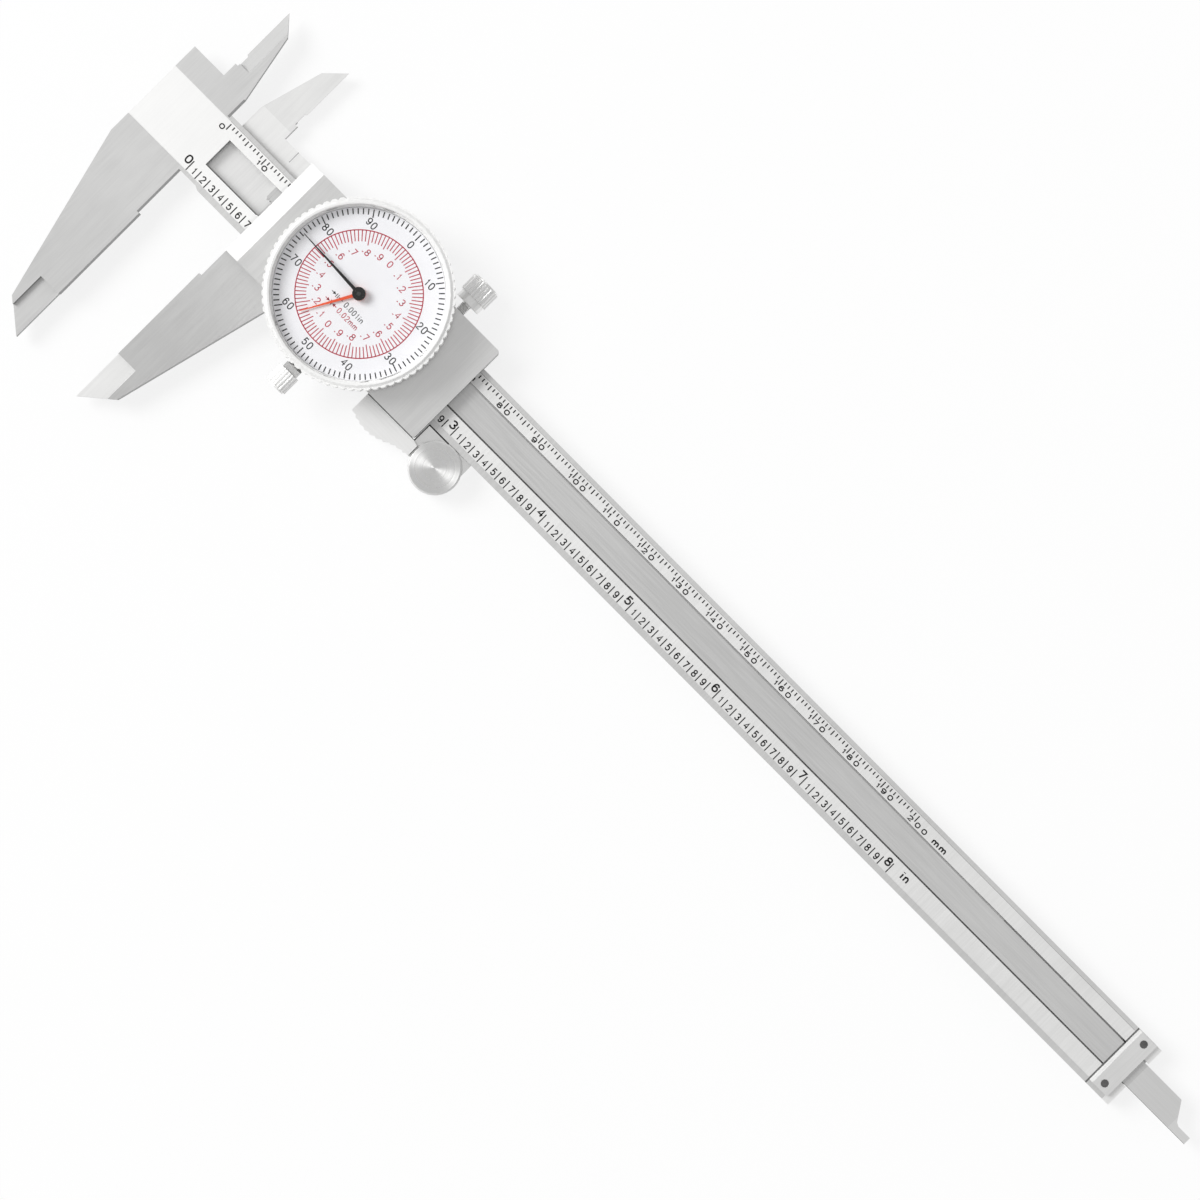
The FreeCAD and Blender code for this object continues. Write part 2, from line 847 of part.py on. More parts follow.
def pinion_arbor():
    """Arbor that ends in the pinion running on the rack."""
    low = rack_floor + arbor_end_gap
    high = rack_top
    shoulder = movement_bridge_level - arbor_end_gap
    top = movement_bridge_level + bridge_plate_thickness
    gap_centre = rack_start + rack_pitch * round((pinion_x - rack_start) / rack_pitch)
    facing = math.pi / 2 - (gap_centre - pinion_x) / pinion_radius
    leaves = pinion(pinion_teeth, rack_module, low, high, facing)
    shaft = turned([
        (0, low), (arbor_radius, low), (arbor_radius, shoulder),
        (upper_pivot_radius, shoulder), (upper_pivot_radius, top), (0, top),
    ])
    arbor = leaves.fuse(shaft)
    arbor.translate(Vector(pinion_x, pinion_y, 0))
    return arbor


def facing_centre():
    """Direction from the pinion's arbor to the dial's centre."""
    return math.atan2(dial_y - pinion_y, dial_x - pinion_x)


def train_wheel(teeth, module, level):
    """Wheel on the pinion's arbor, with windows between its spokes."""
    disc = wheel(teeth, module, level, level + gear_thickness, facing_centre())
    low = level - overrun
    high = level + gear_thickness + overrun
    rim = teeth * module / 2 - wheel_rim_width
    for number in range(wheel_spokes):
        start = 2 * math.pi * number / wheel_spokes
        corners = []
        for radius, shares in ((rim, window_rim_shares), (wheel_hub_radius, window_hub_shares)):
            for share in shares:
                angle = start + share * 2 * math.pi / wheel_spokes
                corners.append((radius * math.cos(angle), radius * math.sin(angle)))
        disc = disc.cut(prism(corners, low, high))
    disc = disc.cut(rod(arbor_radius, 0, 0, low, high))
    disc.translate(Vector(pinion_x, pinion_y, 0))
    return disc


def inch_arbor():
    """Centre arbor with the pinion that the inch wheel drives. It carries the long pointer."""
    low = inch_gear_level - gear_overlap
    high = inch_gear_level + gear_thickness + gear_overlap
    facing = facing_centre() + math.pi + math.pi / inch_pinion_teeth
    leaves = pinion(inch_pinion_teeth, inch_module, low, high, facing)
    shaft = rod(centre_arbor_radius, 0, 0, plate_high + arbor_end_gap, inch_hub_level + inch_hub_height)
    arbor = leaves.fuse(shaft)
    arbor.translate(Vector(dial_x, dial_y, 0))
    return arbor


def mm_sleeve():
    """Hollow arbor round the centre arbor, with the pinion that the millimetre wheel drives."""
    low = mm_gear_level - gear_overlap
    high = mm_gear_level + gear_thickness + gear_overlap
    facing = facing_centre() + math.pi + math.pi / mm_pinion_teeth
    leaves = pinion(mm_pinion_teeth, mm_module, low, high, facing)
    bore = centre_arbor_radius + fit_gap
    tube = rod(sleeve_radius, 0, 0, low, mm_hub_level + mm_hub_height)
    sleeve = leaves.fuse(tube).cut(rod(bore, 0, 0, 0, bezel_top))
    sleeve.translate(Vector(dial_x, dial_y, 0))
    return sleeve


def pointer(inset, level, height, bore, travel):
    """Tapered hand on a round hub, which makes one turn in the slider's given travel."""
    length = dial_face_radius - inset
    clockwise = dial_turn + 360 * (opening / travel % 1)
    hub = rod(hub_radius, 0, 0, level, level + height)
    root = pointer_root_width / 2
    tip = pointer_tip_width / 2
    hand_level = level + (mm_hub_height - pointer_thickness) / 2
    hand = prism(
        [(-root, 0), (root, 0), (tip, length), (-tip, length)], hand_level, hand_level + pointer_thickness
    )
    shape = hub.fuse(hand).removeSplitter()
    shape.rotate(Vector(0, 0, 0), up, -clockwise)
    shape = shape.cut(rod(bore, 0, 0, level - overrun, level + height + overrun))
    shape.translate(Vector(dial_x, dial_y, 0))
    return shape


def pillar_places():
    """Centres of the pillars, on a circle just inside the case's wall."""
    angles = [math.radians(degrees) for degrees in pillar_angles]
    return [
        (dial_x + pillar_circle * math.cos(angle), dial_y + pillar_circle * math.sin(angle))
        for angle in angles
    ]


def movement_screw_profile():
    """Screw that holds the bridge on its pillars."""
    return cheese_head(
        movement_screw_head, movement_screw_head_height, movement_screw_radius, movement_screw_length
    )


def movement_screw_bases():
    top = movement_bridge_level + bridge_plate_thickness
    return [Vector(x, y, top) for x, y in pillar_places()]


def heading(start, end):
    """Direction from one point to another, in degrees."""
    return math.degrees(math.atan2(end[1] - start[1], end[0] - start[0]))


def movement_bridge():
    """Plate over the gear train, which holds the arbors' upper ends."""
    places = pillar_places()
    outline = []
    for before, place, after in zip(places[-1:] + places[:-1], places, places[1:] + places[:1]):
        arriving = heading(before, place)
        turn = (heading(place, after) - arriving) % 360
        margin = pillar_radius + bridge_plate_margin
        outline += arc_points(place[0], place[1], margin, arriving - 90, turn)
    top = movement_bridge_level + bridge_plate_thickness
    plate = prism(outline, movement_bridge_level, top)
    low = movement_bridge_level - overrun
    high = top + overrun
    plate = plate.cut(rod(upper_pivot_radius + fit_gap, pinion_x, pinion_y, low, high))
    plate = plate.cut(rod(sleeve_radius + fit_gap, dial_x, dial_y, low, high))
    for base in movement_screw_bases():
        plate = plate.cut(screw_hole(movement_screw_profile(), base))
    return plate


def movement_pillars():
    """Pillars that stand on the case's floor and carry the bridge."""
    pillars = []
    for base in movement_screw_bases():
        pillar = rod(pillar_radius, base.x, base.y, floor_top, movement_bridge_level)
        pillars.append(pillar.cut(screw_hole(movement_screw_profile(), base)))
    return Part.makeCompound(pillars)


def bezel_snap_ring():
    """Split ring in the case's groove, which keeps the bezel on."""
    low = snap_ring_low
    high = low + snap_ring_height
    inner = case_radius - snap_ring_depth
    outer = skirt_radius + snap_ring_depth
    half_split = snap_ring_split / 2
    ring = turned([(inner, low), (outer, low), (outer, high), (inner, high)])
    split = block(-half_split, half_split, 0, outer + overrun, low - overrun, high + overrun)
    ring = ring.cut(split)
    ring.translate(Vector(dial_x, dial_y, 0))
    return ring


def bezel():
    """Serrated ring that turns on the case and carries the dial and the crystal."""
    skirt = skirt_radius
    ledge = skirt_radius - dial_ledge_width
    ledge_low = dial_back - dial_ledge
    seat = crystal_radius + crystal_gap
    core = bezel_radius - bezel_ridge_height - bezel_ridge_root
    band_top = bezel_top - bezel_chamfer
    groove = skirt_radius + snap_ring_depth + snap_ring_gap
    groove_low = snap_ring_low - snap_ring_gap
    groove_high = snap_ring_low + snap_ring_height + snap_ring_gap
    ring = turned([
        (skirt, bezel_low), (core, bezel_low), (core, band_top),
        (core - bezel_chamfer, bezel_top), (seat, bezel_top), (seat, crystal_back),
        (bezel_wall_radius, crystal_back), (bezel_wall_radius, dial_back),
        (ledge, dial_back), (ledge, ledge_low), (skirt, ledge_low),
        (skirt, groove_high), (groove, groove_high), (groove, groove_low), (skirt, groove_low),
    ])
    ridges = serrated(bezel_radius, bezel_ridge_height, bezel_ridge_count, bezel_low, band_top)
    ridges = ridges.cut(rod(core - bezel_ridge_root, 0, 0, 0, bezel_top))
    ring = ring.fuse(ridges).removeSplitter()
    ring.rotate(Vector(0, 0, 0), up, -dial_turn)
    ring.translate(Vector(dial_x, dial_y, 0))
    return ring


def crystal():
    """Clear flat window of the dial."""
    return rod(crystal_radius, dial_x, dial_y, crystal_back, crystal_back + crystal_thickness)


def dial_face():
    """Thin disc that carries the printed divisions."""
    disc = rod(dial_face_radius, dial_x, dial_y, dial_back, dial_front)
    hole = sleeve_radius + dial_hole_gap
    return disc.cut(rod(hole, dial_x, dial_y, dial_back - overrun, dial_front + overrun))


def bezel_clamp_screw():
    """Knurled screw through the case's lug, which holds the bezel still."""
    head = knurled_head(clamp_head_radius, clamp_head_length, clamp_knurl_count)
    base_radius = lug_outer + screw_gap
    shank = rod(clamp_thread_radius, 0, 0, bezel_radius + screw_gap - base_radius, 0)
    screw = head.fuse(shank).removeSplitter()
    base = Vector(dial_x + clamp_offset, dial_y - base_radius, clamp_level)
    screw.Placement = FreeCAD.Placement(base, FreeCAD.Rotation(up, outward))
    return screw


def thumb_grip():
    """Grip under the slider, with a convex serrated edge for the thumb."""
    start = jaw + grip_start
    end = jaw + grip_end
    shoulder = slider_bottom - grip_drop
    points = [(start, slider_bottom), (start, shoulder)]
    run = end - start
    for number in range(grip_ridge_count):
        for share, lift in zip(grip_ridge_shares, (0, grip_ridge_height)):
            along = (number + share) / grip_ridge_count
            turns = min(1.0, along * grip_swell_turns)
            swell = grip_swell * math.sin(math.pi * turns) - grip_fall * along ** 2
            points.append((start + along * run, shoulder - swell - grip_edge + lift))
    points.append((end, slider_bottom - grip_end_low))
    points.append((end, slider_bottom - grip_end_high))
    points.append((slider_end - slider_corner, slider_bottom))
    grip = prism(points, bracket_high_level, grip_front)
    bore = grip_screw_head + screw_gap
    for base in grip_screw_bases():
        grip = grip.cut(screw_hole(grip_screw_profile(), base, outward))
        grip = grip.cut(turned(bar_profile(bore, 0, 2 * grip_drop), base, outward, screw_sides))
    for base in bracket_screw_bases():
        grip = grip.cut(screw_hole(bracket_screw_profile(), base, down))
    return grip


def bracket_screw_profile():
    """Flat-headed screw that holds the roller's bracket under the grip."""
    return countersunk(bracket_screw_head, bracket_screw_radius, bracket_screw_length)


def bracket_screw_bases():
    y = slider_bottom - bracket_screw_drop
    return [Vector(jaw + along, y, bracket_low_level) for along in bracket_screw_places]


def roller_bracket():
    """Flat bracket behind the roller, fastened under the grip."""
    start = jaw + grip_start + bracket_side_gap
    end = jaw + bracket_end
    step = slider_end + bracket_side_gap
    edge = slider_bottom - bracket_back_gap
    top = bracket_overlap - half_width
    plate = prism([
        (start, edge), (step, edge), (step, top), (end, top),
        (end, bracket_low + bracket_corner), (end - bracket_corner, bracket_low), (start, bracket_low),
    ], bracket_low_level, bracket_high_level)
    hole = roller_axle_radius + fit_gap
    low = bracket_low_level - overrun
    plate = plate.cut(rod(hole, roller_x, roller_y, low, bracket_high_level + overrun))
    for base in bracket_screw_bases():
        plate = plate.cut(screw_hole(bracket_screw_profile(), base, down))
    return plate


def thumb_roller():
    """Roller that runs on the beam's lower edge, in one piece with its axle."""
    low = bracket_high_level + roller_gap
    high = low + roller_width
    rim = roller_radius - roller_edge
    axle_end = bracket_low_level - roller_axle_length
    return turned([
        (0, axle_end), (roller_axle_radius, axle_end), (roller_axle_radius, low),
        (rim, low), (roller_radius, low + roller_edge), (roller_radius, high - roller_edge),
        (rim, high), (0, high),
    ], Vector(roller_x, roller_y, 0))


def roller_clip():
    """Retaining washer on the roller's axle, behind the bracket."""
    high = bracket_low_level - roller_gap
    low = high - clip_thickness
    bore = roller_axle_radius + roller_gap
    return turned([
        (bore, low), (clip_radius, low), (clip_radius, high), (bore, high),
    ], Vector(roller_x, roller_y, 0))


def screws(profile, bases, axis=up):
    """Group of identical screws."""
    return Part.makeCompound([turned(profile, base, axis, screw_sides) for base in bases])


save("main_beam", main_beam())
save("gear_rack", gear_rack())
save("rack_screws", screws(rack_screw_profile(), rack_screw_bases()))
save("end_bridge_plate", end_bridge_plate())
save("end_bridge_screws", screws(bridge_screw_profile(), bridge_screw_bases()))
save("slider_frame", slider_frame())
save("gib_strip", gib_strip())
save("gib_set_screws", gib_set_screws())
save("lock_screw", lock_screw())
save("depth_blade", depth_blade())
save("blade_screws", screws(blade_screw_profile(), blade_screw_bases(), down))
save("dial_case", dial_case())
save("case_screws", screws(case_screw_profile(), case_screw_bases()))
save("pinion_bush", pinion_bush())
save("pinion_arbor", pinion_arbor())
save("inch_wheel", train_wheel(inch_wheel_teeth, inch_module, inch_gear_level))
save("mm_wheel", train_wheel(mm_wheel_teeth, mm_module, mm_gear_level))
save("inch_arbor", inch_arbor())
save("mm_sleeve", mm_sleeve())
save("inch_pointer", pointer(
    inch_pointer_inset, inch_hub_level, inch_hub_height, centre_arbor_radius, inch_pointer_travel
))
save("mm_pointer", pointer(mm_pointer_inset, mm_hub_level, mm_hub_height, sleeve_radius, mm_pointer_travel))
save("movement_bridge", movement_bridge())
save("movement_pillars", movement_pillars())
save("movement_screws", screws(movement_screw_profile(), movement_screw_bases()))
save("bezel_snap_ring", bezel_snap_ring())
save("bezel", bezel())
save("crystal", crystal())
save("dial_face", dial_face())
save("bezel_clamp_screw", bezel_clamp_screw())
save("thumb_grip", thumb_grip())
save("grip_screws", screws(grip_screw_profile(), grip_screw_bases(), outward))
save("roller_bracket", roller_bracket())
save("bracket_screws", screws(bracket_screw_profile(), bracket_screw_bases(), down))
save("thumb_roller", thumb_roller())
save("roller_clip", roller_clip())

print("origin", origin.x, origin.y, origin.z)
print("dial", dial_x - origin.x, dial_y - origin.y)
print("pinion", pinion_x - origin.x, pinion_y - origin.y)
print("roller", roller_x - origin.x, roller_y - origin.y)
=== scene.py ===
import json
import math

import bpy
from mathutils import Matrix, Vector


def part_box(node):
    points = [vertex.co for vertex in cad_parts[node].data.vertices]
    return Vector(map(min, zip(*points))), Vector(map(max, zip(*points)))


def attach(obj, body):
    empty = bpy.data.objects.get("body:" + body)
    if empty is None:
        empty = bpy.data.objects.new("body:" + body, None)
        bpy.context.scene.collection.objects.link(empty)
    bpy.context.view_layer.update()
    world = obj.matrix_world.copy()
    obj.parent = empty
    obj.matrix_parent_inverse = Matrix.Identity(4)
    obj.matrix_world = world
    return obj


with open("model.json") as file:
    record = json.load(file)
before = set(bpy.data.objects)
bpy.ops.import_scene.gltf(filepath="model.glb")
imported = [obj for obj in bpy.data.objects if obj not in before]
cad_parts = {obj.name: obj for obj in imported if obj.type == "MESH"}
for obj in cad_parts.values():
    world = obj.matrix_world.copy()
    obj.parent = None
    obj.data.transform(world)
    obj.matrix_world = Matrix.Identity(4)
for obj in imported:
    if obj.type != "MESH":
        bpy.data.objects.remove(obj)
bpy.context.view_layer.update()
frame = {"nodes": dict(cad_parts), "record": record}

# Looks of the dial caliper. Places are in the drawing's millimetres: x from the fixed jaw's
# measuring face, y from the beam's centre line, z from the beam's front face.
MM = 0.001
HEAD_WIDTH = 15.9
INSIDE_REACH = 31.0
SCALE_RECESS = 0.08
PRINT_HEIGHT = 0.012

beam_low, beam_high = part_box("main_beam")
datum = Vector((beam_low[0] + HEAD_WIDTH * MM, beam_high[1] - INSIDE_REACH * MM, beam_high[2]))


def place(x, y, z=0.0):
    """Point of the drawing in the row frame."""
    return datum + Vector((x, y, z)) * MM


def drawn(point):
    """Point of the row frame in the drawing."""
    return (Vector(point) - datum) / MM


def middle(node):
    """Middle of a CAD node's box, in the drawing."""
    low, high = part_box(node)
    return drawn((Vector(low) + Vector(high)) / 2)


def top_of(node):
    """Height of a CAD node's front, in the drawing."""
    return drawn(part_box(node)[1]).z


def mesh_object(name, points, faces, finish):
    """Mesh in the scene with one material."""
    mesh = bpy.data.meshes.new(name)
    mesh.from_pydata(points, [], faces)
    mesh.materials.append(finish)
    made = bpy.data.objects.new(name, mesh)
    bpy.context.collection.objects.link(made)
    return made


# Node helpers. The spans are the values between which a noise, or a sum of two, mostly stays.
NOISE_SPAN = (0.3, 0.7)
LINE_SPAN = (0.32, 0.68)
CLOUD_SPAN = (0.35, 0.65)
SUM_SPAN = (0.7, 1.3)
WALL_SLOPE = 0.4


def add(tree, kind, inputs=(), **settings):
    """Adds a node. An input is a value, or the socket that it is linked from."""
    made = tree.nodes.new(kind)
    for name, value in settings.items():
        setattr(made, name, value)
    for key, value in dict(inputs).items():
        if isinstance(value, bpy.types.NodeSocket):
            tree.links.new(value, made.inputs[key])
        else:
            made.inputs[key].default_value = value
    return made


def compute(tree, operation, first, second=0.0):
    """Math node's output."""
    return add(tree, "ShaderNodeMath", {0: first, 1: second}, operation=operation).outputs[0]


def between(tree, value, low, high):
    """1 where the value is between the two limits, and 0 elsewhere."""
    above = compute(tree, "GREATER_THAN", value, low)
    below = compute(tree, "LESS_THAN", value, high)
    return compute(tree, "MULTIPLY", above, below)


def remap(tree, value, from_low, from_high, to_low, to_high):
    """Linear map of a value, held at its ends."""
    return add(tree, "ShaderNodeMapRange", {
        "Value": value, "From Min": from_low, "From Max": from_high, "To Min": to_low, "To Max": to_high,
    }).outputs[0]


def vary(tree, noise, centre, reach):
    """Value that follows a noise, up to the reach on each side of a centre."""
    return remap(tree, noise, *NOISE_SPAN, centre - reach, centre + reach)


def blend(tree, share, first, second):
    """Mix of two colours."""
    return add(tree, "ShaderNodeMix", {0: share, 6: first, 7: second}, data_type="RGBA").outputs[2]


def toward(tree, first, second, share):
    """A value moved from the first to the second by a share."""
    rise = compute(tree, "SUBTRACT", second, first)
    return compute(tree, "ADD", first, compute(tree, "MULTIPLY", rise, share))


def grey(value):
    """Neutral colour, a trace warm like steel."""
    return (value, value * 0.998, value * 0.99, 1.0)


class Surface:
    """Material with the coordinates and noises that its finish is made from."""

    def __init__(self, name):
        self.material = bpy.data.materials.new(name)
        self.material.use_nodes = True
        self.tree = self.material.node_tree
        self.tree.nodes.clear()
        coordinates = add(self.tree, "ShaderNodeTexCoord")
        self.object = coordinates.outputs["Object"]
        self.position = add(self.tree, "ShaderNodeSeparateXYZ", {0: self.object})
        self.facing = add(self.tree, "ShaderNodeSeparateXYZ", {0: coordinates.outputs["Normal"]})
        self.out = add(self.tree, "ShaderNodeOutputMaterial")

    def noise(self, scale, detail=3.0, roughness=0.6, vector=None):
        """Noise whose scale is given per metre along each direction."""
        stretched = add(self.tree, "ShaderNodeMapping", {
            "Vector": vector or self.object, "Scale": scale,
        }).outputs[0]
        return add(self.tree, "ShaderNodeTexNoise", {
            "Vector": stretched, "Scale": 1.0, "Detail": detail, "Roughness": roughness,
        }).outputs[0]

    def level(self, axis, low, high):
        """Mask of a stretch of the drawing along x, y or z."""
        index = "xyz".index(axis)
        ends = [datum[index] + value * MM for value in (low, high)]
        return between(self.tree, self.position.outputs[index], *ends)

    def up(self, limit=0.5):
        """Mask of the faces that look up."""
        return compute(self.tree, "GREATER_THAN", self.facing.outputs[2], limit)

    def walls(self):
        """Mask of the upright faces."""
        slope = compute(self.tree, "ABSOLUTE", self.facing.outputs[2])
        return compute(self.tree, "LESS_THAN", slope, WALL_SLOPE)

    def both(self, first, second):
        """Product of two masks."""
        return compute(self.tree, "MULTIPLY", first, second)

    def round_from(self, x, y):
        """Distance from an upright axis of the drawing, in metres."""
        centre = place(x, y)
        away = add(self.tree, "ShaderNodeVectorMath", {
            0: self.object, 1: (centre.x, centre.y, 0.0),
        }, operation="SUBTRACT").outputs[0]
        flat = add(self.tree, "ShaderNodeVectorMath", {0: away, 1: (1.0, 1.0, 0.0)}, operation="MULTIPLY")
        length = add(self.tree, "ShaderNodeVectorMath", {0: flat.outputs[0]}, operation="LENGTH")
        return length.outputs["Value"]

    def finish(self, colour, roughness, height, edge=0.0, bump=0.15, relief=0.00002, tangent=None,
               crown=None, **constants):
        """Principled shader with the colour, the roughness and fine relief.

        The edge is a rounding in millimetres, and the crown a height in metres that shapes the face.
        """
        shader = add(self.tree, "ShaderNodeBsdfPrincipled", {"Base Color": colour, "Roughness": roughness})
        for socket, value in constants.items():
            socket = shader.inputs[socket.replace("_", " ")]
            if isinstance(value, bpy.types.NodeSocket):
                self.tree.links.new(value, socket)
            else:
                socket.default_value = value
        raised = add(self.tree, "ShaderNodeBump", {"Height": height, "Strength": bump, "Distance": relief})
        if edge:
            rounded = add(self.tree, "ShaderNodeBevel", {"Radius": edge * MM}, samples=6)
            self.tree.links.new(rounded.outputs[0], raised.inputs["Normal"])
        if crown:
            curved = add(self.tree, "ShaderNodeBump", {"Height": crown, "Strength": 1.0, "Distance": 1.0})
            self.tree.links.new(curved.outputs[0], raised.inputs["Normal"])
        self.tree.links.new(raised.outputs[0], shader.inputs["Normal"])
        if tangent:
            self.tree.links.new(tangent, shader.inputs["Tangent"])
        self.tree.links.new(shader.outputs[0], self.out.inputs["Surface"])
        return self.material


# Noise cells per metre, along and across the brush lines and in the soft clouds
ALONG = 90.0
ACROSS = 3600.0
BRUSHED_X = (ALONG, ACROSS, ACROSS)
BRUSHED_Y = (ACROSS, ALONG, ACROSS)
CLOUD = (70.0, 70.0, 70.0)
LONG_CLOUD = (16.0, 5.0, 5.0)
RINGS = 2600.0
PLATED_GRAIN = 3000.0
INK_GRAIN = 6000.0
TURNED_GRAIN = 1500.0

# Upright walls carry a painted shade that varies by this share, and those that face the opening direction get
# a painted shade darker by a factor
WALL_SPREAD = 0.15
OPENING_SHADE = 0.42


def steel(name, tone, spread, rough, brushed, zones=(), metallic=0.55, wall=None, slow=CLOUD):
    """Brushed steel. Each zone is a mask maker, a tone, a spread, a roughness and a metallic share."""
    surface = Surface(name)
    tree = surface.tree
    lines = surface.noise(brushed)
    share = remap(tree, lines, *LINE_SPAN, 0.0, 1.0)
    cloud = remap(tree, surface.noise(slow, detail=2.0), *CLOUD_SPAN, 0.0, 1.0)
    mixed = remap(tree, compute(tree, "ADD", share, cloud), 0.0, 2.0, 0.0, 1.0)
    colour = blend(tree, mixed, grey(tone - spread), grey(tone + spread))
    roughness = vary(tree, lines, rough, 0.06)
    # Painted shade: upright faces take the darker wall tone, and those that face +x are darker still
    if wall is not None:
        shade = blend(tree, mixed, grey(wall * (1 - WALL_SPREAD)), grey(wall * (1 + WALL_SPREAD)))
        opening = compute(tree, "GREATER_THAN", surface.facing.outputs[0], 0.5)
        shade = blend(tree, opening, shade, grey(wall * OPENING_SHADE))
        colour = blend(tree, surface.walls(), colour, shade)
    for mask_of, zone_tone, zone_spread, zone_rough, zone_metallic in zones:
        mask = mask_of(surface)
        zone = blend(tree, mixed, grey(zone_tone - zone_spread), grey(zone_tone + zone_spread))
        colour = blend(tree, mask, colour, zone)
        roughness = toward(tree, roughness, vary(tree, lines, zone_rough, 0.04), mask)
        metallic = toward(tree, metallic, zone_metallic, mask)
    return surface.finish(colour, roughness, lines, Metallic=metallic)


def turned_metal(name, tone, spread, rough, centre, aniso=0.0, across=0.0, rim=None):
    """Metal turned on a lathe, with fine rings round an upright axis. A rim is the tone of its edge."""
    surface = Surface(name)
    tree = surface.tree
    away = surface.round_from(*centre)
    rings = surface.noise((RINGS, 1.0, 1.0), vector=add(tree, "ShaderNodeCombineXYZ", {0: away}).outputs[0])
    grain = surface.noise((TURNED_GRAIN, TURNED_GRAIN, TURNED_GRAIN))
    share = remap(tree, compute(tree, "ADD", rings, grain), *SUM_SPAN, 0.0, 1.0)
    roughness = vary(tree, rings, rough, 0.05)
    colour = blend(tree, share, grey(tone - spread), grey(tone + spread))
    metallic = 1.0
    if rim:
        front = surface.up(0.97)
        colour = blend(tree, front, grey(rim), colour)
        metallic = toward(tree, 0.2, metallic, front)
    tangent = None
    if aniso:
        tangent = add(tree, "ShaderNodeTangent", direction_type="RADIAL", axis="Z").outputs[0]
    return surface.finish(
        colour, roughness, rings, edge=0.06, tangent=tangent,
        Metallic=metallic, Anisotropic=aniso, Anisotropic_Rotation=across,
    )


def grained(name, low, high, rough, scale=2500.0, metallic=0.0, edge=0.0, **constants):
    """Paint, ink or blasted metal: two close colours in a fine grain."""
    surface = Surface(name)
    tree = surface.tree
    grain = surface.noise((scale, scale, scale))
    cloud = surface.noise((scale / 12, scale / 12, scale / 12), detail=2.0)
    share = remap(tree, compute(tree, "ADD", grain, cloud), *SUM_SPAN, 0.0, 1.0)
    colour = blend(tree, share, low, high)
    roughness = vary(tree, grain, rough, 0.05)
    return surface.finish(colour, roughness, grain, edge=edge, bump=0.1, Metallic=metallic, **constants)


# Places in the drawing that the finishes and marks are measured from
dial_x, dial_y, _ = middle("bezel")
roller_x, roller_y, _ = middle("thumb_roller")
SLIDER_FRONT = top_of("slider_frame")
slider_low = drawn(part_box("thumb_grip")[1]).y
slider_right = drawn(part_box("slider_frame")[1]).x
beam_edge = drawn(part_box("roller_bracket")[1]).y

# Front of the bezel: radius of its crown, fall inside it, and width and rise of the chamfer outside it
BEZEL_CROWN = 18.5
BEZEL_CURVE = 0.3
CHAMFER_WIDTH = 0.51
CHAMFER_RISE = 0.8


def region(x=None, y=None, z=None, slope=(0.5, 1.1)):
    """Mask of the faces in a box of the drawing whose upward slope lies between two limits."""
    def mask(surface):
        share = between(surface.tree, surface.facing.outputs[2], *slope)
        for axis, ends in (("x", x), ("y", y), ("z", z)):
            if ends:
                share = surface.both(share, surface.level(axis, *ends))
        return share
    return mask


def fading(area, axis, start, end):
    """An area's mask that rises from 0 to 1 along an axis."""
    index = "xyz".index(axis)

    def mask(surface):
        ends = [datum[index] + value * MM for value in (start, end)]
        ramp = remap(surface.tree, surface.position.outputs[index], *ends, 0.0, 1.0)
        return surface.both(area(surface), ramp)
    return mask


# Slopes and levels of faces
BEVEL = (0.3, 0.97)
FRONT = (-0.02, 0.02)
NEAR_FRONT = (-0.1, 0.1)
THIN_TIP = (-1.2, -1.0)
RECESS = (-SCALE_RECESS - 0.02, -SCALE_RECESS + 0.02)
CHANNEL = (-2.7, -2.5)
FACE = (SLIDER_FRONT - 0.05, SLIDER_FRONT + 0.05)
INSIDE_FRONT = (-2.4, -1.8)

# Places along x and y. The far ones lie beyond every piece.
FAR_BELOW = -60.0
FAR_ABOVE = 60.0
FAR_LEFT = -20.0
TIP_LEVEL = -42.7
JAW_MIDDLE = -14.0
# Ramp along y for the painted shade that darkens the jaws towards their tips
JAW_SHADE = ("y", JAW_MIDDLE, -34.0)
WINDOW_END = 17.0
PLATE_GAP = (263.9, 264.3)

# Roughness and metallic share of ground faces and of thin dark lines
GROUND = (0.36, 0.55)
LINE = (0.5, 0.3)

